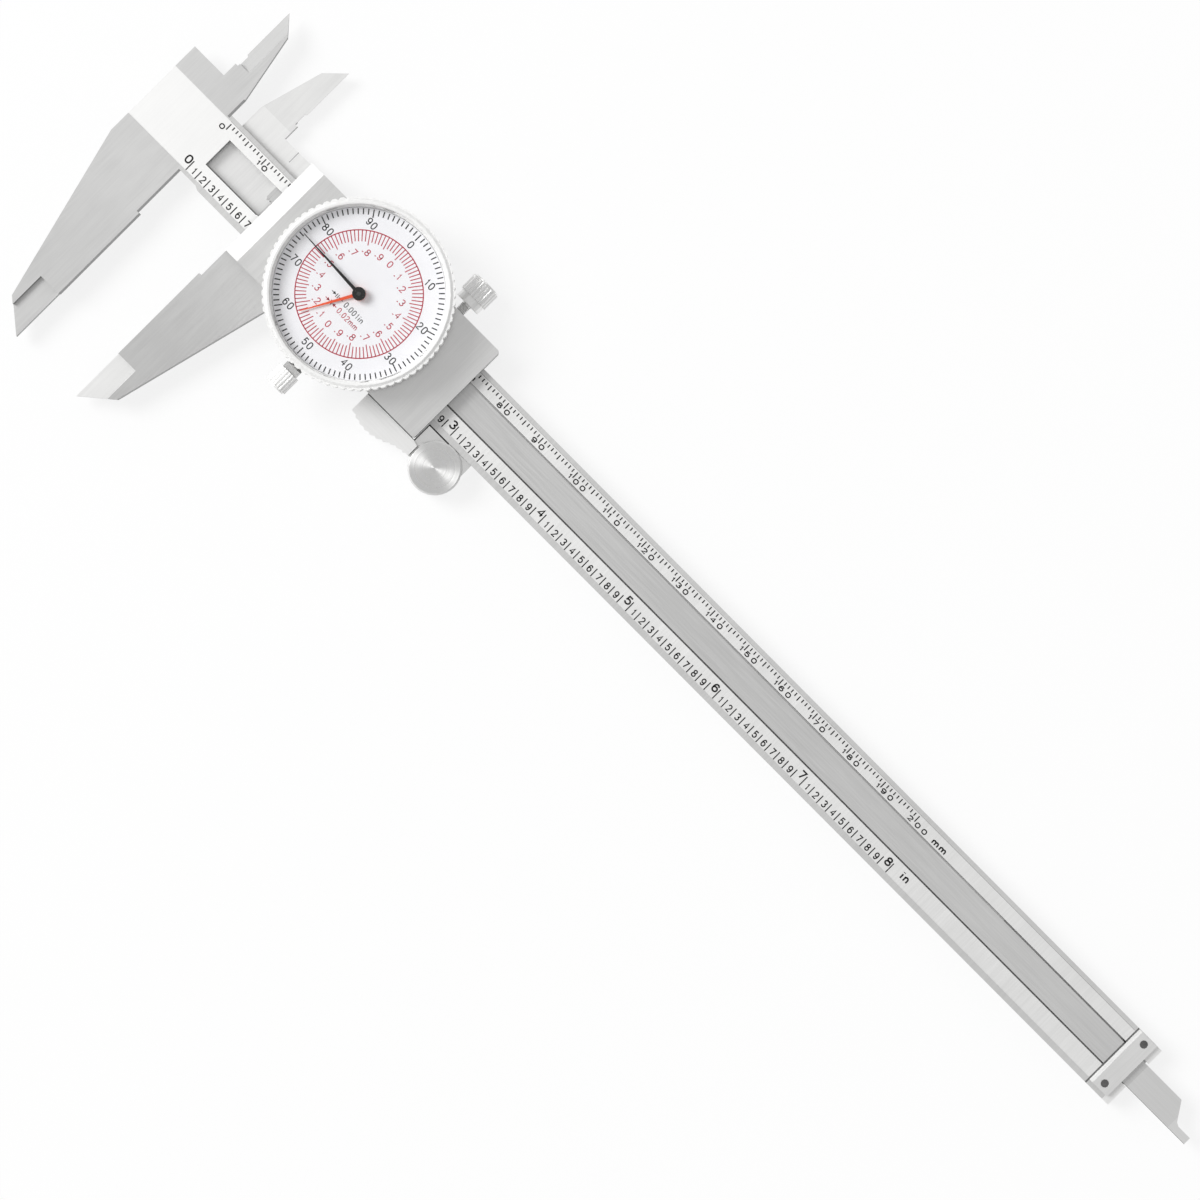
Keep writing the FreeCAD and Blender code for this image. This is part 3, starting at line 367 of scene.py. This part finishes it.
BEAM_ZONES = (
    (region(y=(FAR_BELOW, -6.5), x=(FAR_LEFT, 1.2), z=FRONT), 0.69, 0.03, *GROUND),
    (region(y=(FAR_BELOW, -7.8), z=FRONT), 0.69, 0.03, *GROUND),
    # Painted shade: the fixed jaw darkens towards its tip
    (fading(region(y=(FAR_BELOW, JAW_MIDDLE), z=FRONT), *JAW_SHADE), 0.63, 0.03, *GROUND),
    (region(y=(FAR_BELOW, TIP_LEVEL), z=THIN_TIP), 0.65, 0.03, *GROUND),
    (region(y=(6.9, FAR_ABOVE), x=(FAR_LEFT, 0.0), z=(-1.2, 0.1)), 0.70, 0.03, *GROUND),
    (region(z=RECESS), 0.88, 0.05, 0.5, 0.55),
    (region(z=RECESS, x=(FAR_LEFT, WINDOW_END)), 0.9, 0.02, 0.55, 0.4),
    (region(z=CHANNEL), 0.78, 0.04, 0.35, 0.9),
    (region(z=CHANNEL, x=(0.0, WINDOW_END)), 0.95, 0.03, 0.35, 0.85),
    (region(z=NEAR_FRONT, x=(269.0, 280.0)), 0.96, 0.02, 0.4, 0.55),
    (region(x=(-8.0, -3.0), y=(16.0, 32.0), slope=BEVEL), 0.57, 0.03, 0.7, 0.0),
    # Painted shade: dark band along the fixed inside jaw's edge wall
    (region(x=(-1.3, -0.75), y=(7.2, 12.0), z=(-1.3, 0.1)), 0.28, 0.04, *LINE),
    (region(x=(0.0, 264.0), y=(6.89, 6.98), z=NEAR_FRONT), 0.4, 0.05, *LINE),
    # Painted shade: dark lines in the gap at the channel's lower edge
    (region(x=(2.5, 264.0), y=(-2.78, -2.65), z=NEAR_FRONT), 0.12, 0.04, *LINE),
    (region(x=(2.5, WINDOW_END), y=(-2.92, -2.65), z=NEAR_FRONT), 0.12, 0.04, *LINE),
    # Painted shade: dark line in the gap at the end plate
    (region(x=PLATE_GAP, z=NEAR_FRONT), 0.15, 0.05, *LINE),
)
SLIDER_ZONES = (
    # Painted shade: the sliding jaw darkens towards its tip
    (fading(region(y=(FAR_BELOW, JAW_MIDDLE)), *JAW_SHADE), 0.57, 0.03, *GROUND),
    (region(z=FACE), 0.67, 0.04, 0.4, 0.6),
    # Painted light: the face turns lighter to the right of the dial, against the shade that the bezel casts
    # there
    (fading(region(z=FACE), "x", dial_x - 14.0, dial_x + 14.0), 0.81, 0.04, 0.34, 0.85),
    (region(z=INSIDE_FRONT, y=(6.0, 14.0)), 0.88, 0.03, 0.45, 0.6),
    (region(z=INSIDE_FRONT, y=(14.0, 40.0)), 0.81, 0.03, 0.45, 0.6),
    # Painted shade: dark line at the step across the sliding inside jaw's arm
    (region(z=INSIDE_FRONT, x=(13.85, 14.02), y=(9.5, 12.4)), 0.3, 0.05, *LINE),
    # Painted highlight: the reading bevel is near-white where it catches the lamp
    (region(x=(17.0, 22.0), slope=BEVEL), 0.87, 0.01, 0.6, 0.1),
    # Painted reflection: the thin tip of the sliding jaw is lighter
    (region(y=(FAR_BELOW, TIP_LEVEL), z=THIN_TIP), 0.86, 0.03, 0.4, 0.55),
)
BLADE_ZONES = (
    (region(x=(271.0, 283.0)), 0.76, 0.04, 0.36, 0.6),
    (region(x=(283.0, 300.0)), 0.82, 0.03, 0.36, 0.6),
    # Painted shade: dark line along the blade's lower edge, in the gap to the channel
    (region(y=(-2.6, -2.42)), 0.12, 0.04, *LINE),
    # Painted shade: dark line in the gap at the end plate
    (region(x=PLATE_GAP), 0.15, 0.05, *LINE),
)

# Painted shade: dark lines where the grip and the bracket meet the slider and the beam
GAP_SHADE = (0.03, 0.5, 0.2)
GRIP_ZONES = (
    (region(y=(slider_low - 0.22, slider_low + 0.1)), 0.1, *GAP_SHADE),
)
BRACKET_ZONES = (
    (region(x=(slider_right - 0.1, slider_right + 0.35)), 0.08, *GAP_SHADE),
    (
        region(x=(slider_right - 0.1, slider_right + 5.8), y=(beam_edge - 1.0, beam_edge + 0.1)),
        0.08, *GAP_SHADE,
    ),
)


def finishes():
    """Materials by CAD slot, and those of single nodes, which go first."""
    by_slot = {
        "screw_steel": turned_metal("screw_steel_turned", 0.6, 0.08, 0.35, (dial_x, dial_y)),
        "brass": grained("brass_machined", (0.70, 0.54, 0.24, 1), (0.84, 0.68, 0.36, 1), 0.3, metallic=1.0),
        "dark_screw": grained("dark_screw_head", grey(0.10), grey(0.2), 0.4, metallic=0.8, edge=0.08),
        "rack_steel": steel("rack_machined", 0.8, 0.05, 0.3, BRUSHED_Y, metallic=0.95),
        "black_paint": grained(
            "pointer_black", grey(0.005), grey(0.012), 0.45, Specular_IOR_Level=0.12
        ),
        "red_paint": grained(
            "pointer_red", (0.78, 0.075, 0.02, 1), (0.88, 0.12, 0.035, 1), 0.45, Specular_IOR_Level=0.25
        ),
        "dial_white": grained("dial_printed_white", (0.88, 0.88, 0.91, 1), (0.92, 0.92, 0.94, 1), 0.5),
    }
    by_node = {
        # The wall tones given here are painted shade on the upright faces
        "main_beam": steel("beam_ground", 0.71, 0.035, 0.36, BRUSHED_Y, BEAM_ZONES, wall=0.42),
        "slider_frame": steel("slider_ground", 0.68, 0.035, 0.36, BRUSHED_Y, SLIDER_ZONES, wall=0.46),
        "depth_blade": steel(
            "blade_ground", 0.68, 0.06, 0.34, BRUSHED_X, BLADE_ZONES, metallic=0.6, wall=0.4, slow=LONG_CLOUD
        ),
        "bezel": bezel_finish(),
        "end_bridge_plate": steel("plate_ground", 0.81, 0.04, 0.36, BRUSHED_Y, wall=0.5),
        "inch_arbor": grained("arbor_dark", grey(0.02), grey(0.06), 0.4, metallic=0.6),
        "thumb_roller": turned_metal(
            "roller_turned", 0.87, 0.04, 0.3, (roller_x, roller_y), aniso=0.82, across=0.25, rim=0.8
        ),
        "thumb_grip": steel("grip_plated", 0.87, 0.03, 0.42, BRUSHED_X, GRIP_ZONES, metallic=0.4),
        "roller_bracket": steel("bracket_plated", 0.97, 0.01, 0.14, BRUSHED_X, BRACKET_ZONES, metallic=1.0),
        "lock_screw": grained(
            "lock_plated", grey(0.93), grey(0.99), 0.34, scale=PLATED_GRAIN, metallic=0.8, edge=0.1
        ),
        "bezel_clamp_screw": grained(
            "clamp_plated", grey(0.92), grey(0.98), 0.34, scale=PLATED_GRAIN, metallic=0.2, edge=0.1
        ),
        "dial_case": grained("case_satin", grey(0.5), grey(0.6), 0.4, metallic=0.6),
        "crystal": clear(),
    }
    return by_slot, by_node


def bezel_finish():
    """Satin plating whose narrow front is rounded over."""
    surface = Surface("bezel_plated")
    tree = surface.tree
    away = compute(tree, "SUBTRACT", surface.round_from(dial_x, dial_y), BEZEL_CROWN * MM)
    inside = compute(tree, "MINIMUM", away, 0.0)
    arch = compute(tree, "MULTIPLY", compute(tree, "MULTIPLY", inside, inside), -BEZEL_CURVE / MM)
    on_chamfer = compute(tree, "MINIMUM", compute(tree, "MAXIMUM", away, 0.0), CHAMFER_WIDTH * MM)
    outside = compute(tree, "MULTIPLY", on_chamfer, CHAMFER_RISE)
    grain = surface.noise((PLATED_GRAIN, PLATED_GRAIN, PLATED_GRAIN))
    share = remap(tree, grain, *CLOUD_SPAN, 0.0, 1.0)
    colour = blend(tree, share, grey(0.93), grey(0.99))
    roughness = vary(tree, grain, 0.37, 0.05)
    crown = compute(tree, "MULTIPLY", compute(tree, "ADD", arch, outside), surface.up(0.6))
    return surface.finish(colour, roughness, grain, bump=0.2, crown=crown, Metallic=0.15)


def clear():
    """Clear crystal that lets nearly all light through."""
    surface = Surface("crystal_clear")
    haze = surface.noise((400.0, 400.0, 400.0))
    colour = blend(surface.tree, haze, (0.98, 0.98, 0.99, 1), (1.0, 1.0, 1.0, 1))
    roughness = vary(surface.tree, haze, 0.035, 0.015)
    return surface.finish(colour, roughness, haze, bump=0.01, Alpha=0.012)


# Characters of the printed and etched marks, as strokes in a unit box
ARC_STEP = 20
LEAST_STEPS = 4
LEAST_MITRE = 0.6
DOT_WEIGHT = 1.5


def arc(x, y, across, along, start, end, box=1.0):
    """Points on an ellipse's arc, with angles in degrees. A box below 1 squares its corners."""
    count = max(LEAST_STEPS, round(abs(end - start) / ARC_STEP))
    points = []
    for number in range(count + 1):
        angle = math.radians(start + (end - start) * number / count)
        run, rise = math.cos(angle), math.sin(angle)
        points.append((
            x + across * math.copysign(abs(run) ** box, run),
            y + along * math.copysign(abs(rise) ** box, rise),
        ))
    return points


SIX = [arc(0.5, 0.31, 0.48, 0.31, 0, 360), arc(0.52, 0.5, 0.5, 0.5, 35, 190)]
CHARACTERS = {
    "0": [arc(0.5, 0.5, 0.5, 0.5, 0, 360, 0.8)],
    "1": [[(0.2, 0.74), (0.6, 1.0), (0.6, 0.0)]],
    "2": [arc(0.5, 0.71, 0.48, 0.29, 170, -25) + [(0.02, 0.0), (1.0, 0.0)]],
    "3": [arc(0.47, 0.76, 0.45, 0.24, 160, -90), arc(0.47, 0.26, 0.5, 0.26, 90, -160)],
    "4": [[(0.75, 0.0), (0.75, 1.0), (0.0, 0.3), (1.0, 0.3)]],
    "5": [[(0.92, 1.0), (0.18, 1.0), (0.08, 0.52)] + arc(0.48, 0.32, 0.5, 0.32, 140, -160)],
    "6": SIX,
    "7": [[(0.0, 1.0), (1.0, 1.0), (0.35, 0.0)]],
    "8": [arc(0.5, 0.765, 0.42, 0.235, 0, 360), arc(0.5, 0.265, 0.5, 0.265, 0, 360)],
    "9": [[(1 - x, 1 - y) for x, y in stroke] for stroke in SIX],
    ".": [[(0.5, 0.0), (0.5, 0.15)]],
    "i": [[(0.5, 0.0), (0.5, 0.68)], [(0.5, 0.9), (0.5, 1.0)]],
    "n": [[(0.0, 0.0), (0.0, 0.68)], arc(0.5, 0.4, 0.5, 0.28, 180, 0) + [(1.0, 0.0)]],
    "m": [
        [(0.0, 0.0), (0.0, 0.68)], arc(0.25, 0.42, 0.25, 0.26, 180, 0) + [(0.5, 0.0)],
        arc(0.75, 0.42, 0.25, 0.26, 180, 0) + [(1.0, 0.0)],
    ],
}
WIDTHS = {"1": 0.75, ".": 0.1, "i": 0.1, "n": 0.85, "m": 1.5}


class Print:
    """Flat marks on one surface, gathered into one mesh."""

    def __init__(self):
        self.points = []
        self.faces = []

    def add(self, points, faces):
        """Adds faces over new points."""
        start = len(self.points)
        self.points += points
        self.faces += [tuple(start + index for index in face) for face in faces]

    def bar(self, x0, x1, y0, y1):
        """Upright box between two places along x and two along y."""
        self.add([(x0, y0), (x1, y0), (x1, y1), (x0, y1)], [(0, 1, 2, 3)])

    def spoke(self, x, y, clockwise, inner, outer, width):
        """Straight mark on a ray from a centre. The angle is in degrees from the top."""
        angle = math.radians(clockwise)
        ray = Vector((math.sin(angle), math.cos(angle)))
        side = Vector((ray.y, -ray.x)) * width / 2
        middle_point = Vector((x, y))
        corners = (inner * ray - side, inner * ray + side, outer * ray + side, outer * ray - side)
        self.add([tuple(middle_point + corner) for corner in corners], [(3, 2, 1, 0)])

    def circle(self, x, y, radius, width, count=180):
        """Line round a centre."""
        points = []
        for number in range(count):
            angle = 2 * math.pi * number / count
            for away in (radius - width / 2, radius + width / 2):
                points.append((x + away * math.cos(angle), y + away * math.sin(angle)))
        faces = []
        for number in range(count):
            start = 2 * number
            after = (start + 2) % (2 * count)
            faces.append((start, start + 1, after + 1, after))
        self.add(points, faces)

    def stroke(self, points, width):
        """Line of even width through the points. It closes where its ends meet."""
        path = [Vector(point) for point in points]
        closed = (path[0] - path[-1]).length < 1e-6
        if closed:
            path.pop()
        count = len(path)
        edges = []
        for number, here in enumerate(path):
            rays = []
            if closed or number:
                rays.append((here - path[number - 1]).normalized())
            if closed or number < count - 1:
                rays.append((path[(number + 1) % count] - here).normalized())
            ahead = sum(rays, Vector((0.0, 0.0))).normalized()
            side = Vector((-ahead.y, ahead.x))
            square = side.dot(Vector((-rays[-1].y, rays[-1].x)))
            side *= width / 2 / max(LEAST_MITRE, square)
            edges += [tuple(here + side), tuple(here - side)]
        faces = []
        for number in range(count if closed else count - 1):
            first = 2 * number
            after = (first + 2) % (2 * count)
            faces.append((first + 1, after + 1, after, first))
        self.add(edges, faces)

    def text(self, text, x, y, width, height, weight, align=0.5, gap=0.3):
        """Characters of this width and height, their 0 as the measure, in lines of this weight.

        Align puts the ink's left, middle or right at x. The gap is a share of the width.
        """
        cursor = 0.0
        lines = []
        for character in text:
            wide = (width - weight) * WIDTHS.get(character, 1.0)
            for stroke in CHARACTERS[character]:
                lines.append([(cursor + px * wide, (py - 0.5) * (height - weight)) for px, py in stroke])
            cursor += wide + weight + gap * width
        xs = [px for line in lines for px, _ in line]
        low = min(xs) - weight / 2
        high = max(xs) + weight / 2
        shift = x - low - (high - low) * align
        for line in lines:
            dot = len(line) == 2 and (Vector(line[0]) - Vector(line[1])).length < weight
            self.stroke([(px + shift, py + y) for px, py in line], weight * (DOT_WEIGHT if dot else 1.0))

    def piece(self, name, body, slot, finish, z, turn=0.0, about=(0.0, 0.0)):
        """Makes the mesh, turned clockwise about a point, and lays it on the body."""
        turned = Matrix.Rotation(math.radians(-turn), 2)
        centre = Vector(about)
        flat = [centre + turned @ (Vector(point) - centre) for point in self.points]
        made = mesh_object(name, [place(point.x, point.y, z) for point in flat], self.faces, finish)
        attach(made, body)


# Scales on the beam. A digit is a width, a height and the weight of its lines.
SCALE_START = 0.45
INCH = 25.4
MM_TICK_TOP = 6.6
MM_TICK_ENDS = {10: 5.05, 5: 5.4, 1: 5.8}
MM_TICK_WIDTH = 0.26
MM_DIGIT = (1.22, 1.17, 0.26)
MM_DIGIT_LEVEL = 4.97
MM_DIGIT_GAP = 0.45
MM_DIGIT_STEP = 1.92
MM_UNIT = (1.25, 1.5, 0.33)
MM_UNIT_PLACE = 207.8
MM_UNIT_RAISE = 0.1
INCH_TICK_LOW = -6.56
INCH_TICK_TOP = -4.5
WHOLE_TICK_TOP = -4.06
INCH_TICK_WIDTH = 0.24
SMALL_DIGIT = (1.06, 1.65, 0.27)
SMALL_DIGIT_LEVEL = -5.52
SMALL_DIGIT_PLACE = 1.17
WHOLE_DIGIT = (1.5, 1.95, 0.36)
WHOLE_DIGIT_LEVEL = -4.54
WHOLE_DIGIT_GAP = 0.3
IN_UNIT = (1.3, 1.9, 0.36)
IN_UNIT_PLACE = (207.4, -4.5)


def rank(number):
    """10 for every tenth mark, 5 for the other fifths and 1 for the rest."""
    return 10 if number % 10 == 0 else 5 if number % 5 == 0 else 1


def millimetre_scale():
    """Upper scale, 0 to 200 mm, with a number at every centimetre."""
    marks = Print()
    for number in range(201):
        x = SCALE_START + number
        step = rank(number)
        half = MM_TICK_WIDTH / 2
        marks.bar(x - half, x + half, MM_TICK_ENDS[step], MM_TICK_TOP)
        if step == 10:
            digits = str(number)
            marks.text(digits[0], x - MM_DIGIT_GAP, MM_DIGIT_LEVEL, *MM_DIGIT, align=1.0)
            for place_number, digit in enumerate(digits[1:]):
                left = x + MM_DIGIT_GAP + place_number * MM_DIGIT_STEP
                marks.text(digit, left, MM_DIGIT_LEVEL, *MM_DIGIT, align=0.0)
    marks.text("mm", MM_UNIT_PLACE, MM_DIGIT_LEVEL + MM_UNIT_RAISE, *MM_UNIT)
    return marks


def inch_scale():
    """Lower scale, 0 to 8 in, with a tick and a number at every tenth."""
    marks = Print()
    for number in range(81):
        x = SCALE_START + number * INCH / 10
        whole = number % 10 == 0
        half = INCH_TICK_WIDTH / 2
        marks.bar(x - half, x + half, INCH_TICK_LOW, WHOLE_TICK_TOP if whole else INCH_TICK_TOP)
        if whole:
            marks.text(str(number // 10), x - WHOLE_DIGIT_GAP, WHOLE_DIGIT_LEVEL, *WHOLE_DIGIT, align=1.0)
        else:
            marks.text(str(number % 10), x - SMALL_DIGIT_PLACE, SMALL_DIGIT_LEVEL, *SMALL_DIGIT)
    marks.text("in", *IN_UNIT_PLACE, *IN_UNIT)
    return marks


# Divisions of the dial. The whole print is turned by a little over a degree, as in the photo.
DIAL_TURN = 1.2
DIVISION = 3.6
INCH_RADIUS = 17.3
INCH_INNER = {10: 15.6, 5: 16.1, 1: 16.1}
INCH_SPOKE = 0.25
DIAL_DIGIT = (1.02, 1.66, 0.23)
DIAL_DIGIT_RADIUS = 14.4
RED_RADIUS = 12.95
RED_INNER = {10: 9.95, 5: 10.25, 1: 10.65}
RED_SPOKE = 0.2
RED_LINE = 0.23
RED_DIGIT = (0.98, 1.5, 0.2)
RED_DIGIT_RADIUS = 8.65
RED_DIGIT_ANGLE = 18
LEGEND_DIGIT = (0.72, 1.24, 0.16)
LEGEND_MARK = -2.75
LEGEND_TEXT = 2.0
LEGEND_TICK = (0.2, 0.45)
ARROW_TIP = 0.42
ARROW_SHAFT = 0.5
ARROW_HEAD = (0.62, 0.36)
THIN_HALF = 0.08


def on_dial(radius, degrees):
    """Place on the dial, clockwise from the top."""
    angle = math.radians(degrees)
    return dial_x + radius * math.sin(angle), dial_y + radius * math.cos(angle)


def arrow(marks, x, y, direction):
    """Small arrow that points along x."""
    head, half = ARROW_HEAD
    marks.bar(*sorted((x, x - direction * (ARROW_SHAFT + head))), y - THIN_HALF, y + THIN_HALF)
    wings = [(x - direction * head, y - half), (x - direction * head, y + half)]
    marks.add([(x, y)] + wings, [(0, 2, 1) if direction > 0 else (0, 1, 2)])


def legend(marks, text, y):
    """One division between two arrows, and its value."""
    x = dial_x + LEGEND_MARK
    away, half = LEGEND_TICK
    for side in (-1, 1):
        tick = x + side * away
        marks.bar(tick - THIN_HALF, tick + THIN_HALF, y - half, y + half)
        arrow(marks, x + side * ARROW_TIP, y, -side)
    marks.text(text, dial_x + LEGEND_TEXT, y, *LEGEND_DIGIT)


def thousandths():
    """Black outer divisions: 100 of 0.001 in."""
    marks = Print()
    for number in range(100):
        step = rank(number)
        marks.spoke(dial_x, dial_y, DIVISION * number, INCH_INNER[step], INCH_RADIUS, INCH_SPOKE)
        if step == 10:
            marks.text(str(number), *on_dial(DIAL_DIGIT_RADIUS, DIVISION * number), *DIAL_DIGIT)
    legend(marks, "0.001in", dial_y - 3.4)
    return marks


def hundredths():
    """Red inner divisions: 100 of 0.02 mm, numbered in tenths of a millimetre."""
    marks = Print()
    marks.circle(dial_x, dial_y, RED_RADIUS, RED_LINE)
    for number in range(100):
        marks.spoke(dial_x, dial_y, DIVISION * number, RED_INNER[rank(number)], RED_RADIUS, RED_SPOKE)
    for number in range(20):
        tenth = number % 10
        centre = on_dial(RED_DIGIT_RADIUS, RED_DIGIT_ANGLE * number)
        marks.text("." + str(tenth) if tenth else "0", *centre, *RED_DIGIT)
    legend(marks, "0.02mm", dial_y - 5.2)
    return marks


# Thread of the lock screw: its ends along y, its radii and its pitch
THREAD_ENDS = (12.68, 14.85)
THREAD_RADII = (0.95, 1.12)
THREAD_PITCH = 0.36
THREAD_SIDES = 20


def thread(name, body, finish, x, z):
    """Raised thread turns round an axis along y."""
    low, high = THREAD_ENDS
    root, crest = THREAD_RADII
    pitch = THREAD_PITCH
    points = []
    faces = []
    count = int((high - low - pitch) / pitch * THREAD_SIDES)
    for number in range(count + 1):
        angle = 2 * math.pi * number / THREAD_SIDES
        y = low + pitch / 2 + pitch * number / THREAD_SIDES
        for radius, shift in ((root, -pitch / 2), (crest, 0.0), (root, pitch / 2)):
            points.append(place(x + radius * math.cos(angle), y + shift, z + radius * math.sin(angle)))
    for number in range(count):
        first = 3 * number
        for side in (0, 1):
            faces.append((first + side, first + side + 3, first + side + 4, first + side + 1))
    made = mesh_object(name, points, faces, finish)
    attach(made, body)


# Stage
FLOOR_HALF = 8.0
FLOOR_DROP = 0.0001
GLOW_SHARE = 0.8


def floor():
    """White floor that keeps the shadow. Only what is seen of it glows, so it lights nothing more."""
    surface = Surface("floor_white")
    tree = surface.tree
    path = add(tree, "ShaderNodeLightPath")
    seen = compute(tree, "MAXIMUM", path.outputs["Is Camera Ray"], path.outputs["Is Glossy Ray"])
    seen = compute(tree, "MAXIMUM", seen, path.outputs["Is Transmission Ray"])
    share = compute(tree, "MULTIPLY", seen, GLOW_SHARE)
    grain = surface.noise((40.0, 40.0, 40.0))
    colour = blend(tree, grain, (0.95, 0.95, 0.95, 1), (0.98, 0.98, 0.98, 1))
    diffuse = add(tree, "ShaderNodeBsdfDiffuse", {"Color": colour})
    glow = add(tree, "ShaderNodeEmission", {"Color": (1, 1, 1, 1), "Strength": 1.0})
    mixed = add(tree, "ShaderNodeMixShader", {0: share, 1: diffuse.outputs[0], 2: glow.outputs[0]})
    tree.links.new(mixed.outputs[0], surface.out.inputs["Surface"])
    corners = [(x * FLOOR_HALF, y * FLOOR_HALF, -FLOOR_DROP) for x, y in ((-1, -1), (1, -1), (1, 1), (-1, 1))]
    made = mesh_object("floor", corners, [(0, 1, 2, 3)], surface.material)


# Strength of the sky at its palest, from the given height of view on, and at the horizon
SKY_TOP = 0.575
SKY_TOP_HEIGHT = 0.85
SKY_LOW = 0.42

# Lamp: direction in degrees, distance and size in metres, and power in watts
KEY_AZIMUTH = 197.0
KEY_ELEVATION = 44.0
KEY_DISTANCE = 4.0
KEY_SIZE = 2.0
KEY_POWER = 108.0


def lights():
    """Pale sky that darkens towards the horizon, and one large soft lamp from the photo's upper left."""
    world = bpy.data.worlds.new("studio")
    bpy.context.scene.world = world
    world.use_nodes = True
    tree = world.node_tree
    tree.nodes.clear()
    direction = add(tree, "ShaderNodeTexCoord").outputs["Generated"]
    height = add(tree, "ShaderNodeSeparateXYZ", {0: direction}).outputs[2]
    level = remap(tree, height, 0.0, SKY_TOP_HEIGHT, SKY_LOW, SKY_TOP)
    sky = add(tree, "ShaderNodeBackground", {"Color": (1, 1, 1, 1), "Strength": level})
    out = add(tree, "ShaderNodeOutputWorld", {"Surface": sky.outputs[0]})
    out.is_active_output = True
    lamp = bpy.data.lights.new("key", "AREA")
    lamp.shape = "DISK"
    lamp.size = KEY_SIZE
    lamp.energy = KEY_POWER
    holder = bpy.data.objects.new("key", lamp)
    bpy.context.collection.objects.link(holder)
    azimuth = math.radians(KEY_AZIMUTH)
    elevation = math.radians(KEY_ELEVATION)
    away = Vector((
        math.cos(azimuth) * math.cos(elevation), math.sin(azimuth) * math.cos(elevation), math.sin(elevation)
    ))
    holder.location = away * KEY_DISTANCE
    holder.rotation_euler = away.to_track_quat("Z", "Y").to_euler()


# Camera fitted to the scales of the photo: its place in the drawing, its tilt as a turn in degrees
# about a vector, its roll in degrees, and its lens and sensor in millimetres
CAMERA_PLACE = (89.37, -8.66, 699.72)
CAMERA_TILT = Vector((0.0, 2.685, -0.101))
CAMERA_ROLL = 45.0
CAMERA_LENS = 102.375
CAMERA_SENSOR = 36.0


def camera():
    """The photo's view from above, rolled so that the beam runs down to the right."""
    data = bpy.data.cameras.new("camera")
    data.sensor_width = CAMERA_SENSOR
    data.lens = CAMERA_LENS
    data.clip_start = 0.01
    data.clip_end = 50.0
    made = bpy.data.objects.new("camera", data)
    bpy.context.collection.objects.link(made)
    tilt = Matrix.Rotation(math.radians(CAMERA_TILT.length), 3, CAMERA_TILT.normalized())
    turned = tilt.transposed() @ Matrix.Rotation(math.radians(CAMERA_ROLL), 3, "Z")
    made.matrix_world = Matrix.Translation(place(*CAMERA_PLACE)) @ turned.to_4x4()
    bpy.context.scene.camera = made


def dress():
    """Gives every CAD node its finish."""
    by_slot, by_node = finishes()
    slots = {part["node"]: part["material_slot"] for part in frame["record"]["subparts"]}
    for name, node in frame["nodes"].items():
        finish = by_node.get(name) or by_slot[slots[name]]
        node.data.materials.clear()
        node.data.materials.append(finish)


def ink(name, low, high, rough):
    """Printed or etched marks."""
    return grained(name, low, high, rough, scale=INK_GRAIN, Specular_IOR_Level=0.2)


dress()
etched = ink("etched_black", grey(0.012), grey(0.03), 0.6)
printed = ink("printed_black", grey(0.012), grey(0.035), 0.5)
red_ink = ink("printed_red", (0.44, 0.02, 0.045, 1), (0.54, 0.04, 0.075, 1), 0.5)
scale_level = -SCALE_RECESS + PRINT_HEIGHT
millimetre_scale().piece("millimetre_scale", "beam", "black_paint", etched, scale_level)
inch_scale().piece("inch_scale", "beam", "black_paint", etched, scale_level)
dial_level = top_of("dial_face") + PRINT_HEIGHT
about = (dial_x, dial_y)
thousandths().piece("dial_inch_divisions", "bezel_ring", "black_paint", printed, dial_level, DIAL_TURN, about)
hundredths().piece("dial_mm_divisions", "bezel_ring", "red_paint", red_ink, dial_level, DIAL_TURN, about)
lock_x, _, lock_z = middle("lock_screw")
thread_steel = grained("thread_steel", grey(0.85), grey(0.95), 0.35, metallic=0.5)
thread("lock_thread", "lock", thread_steel, lock_x, lock_z)

floor()
lights()
camera()
bpy.context.scene.view_settings.view_transform = "Standard"
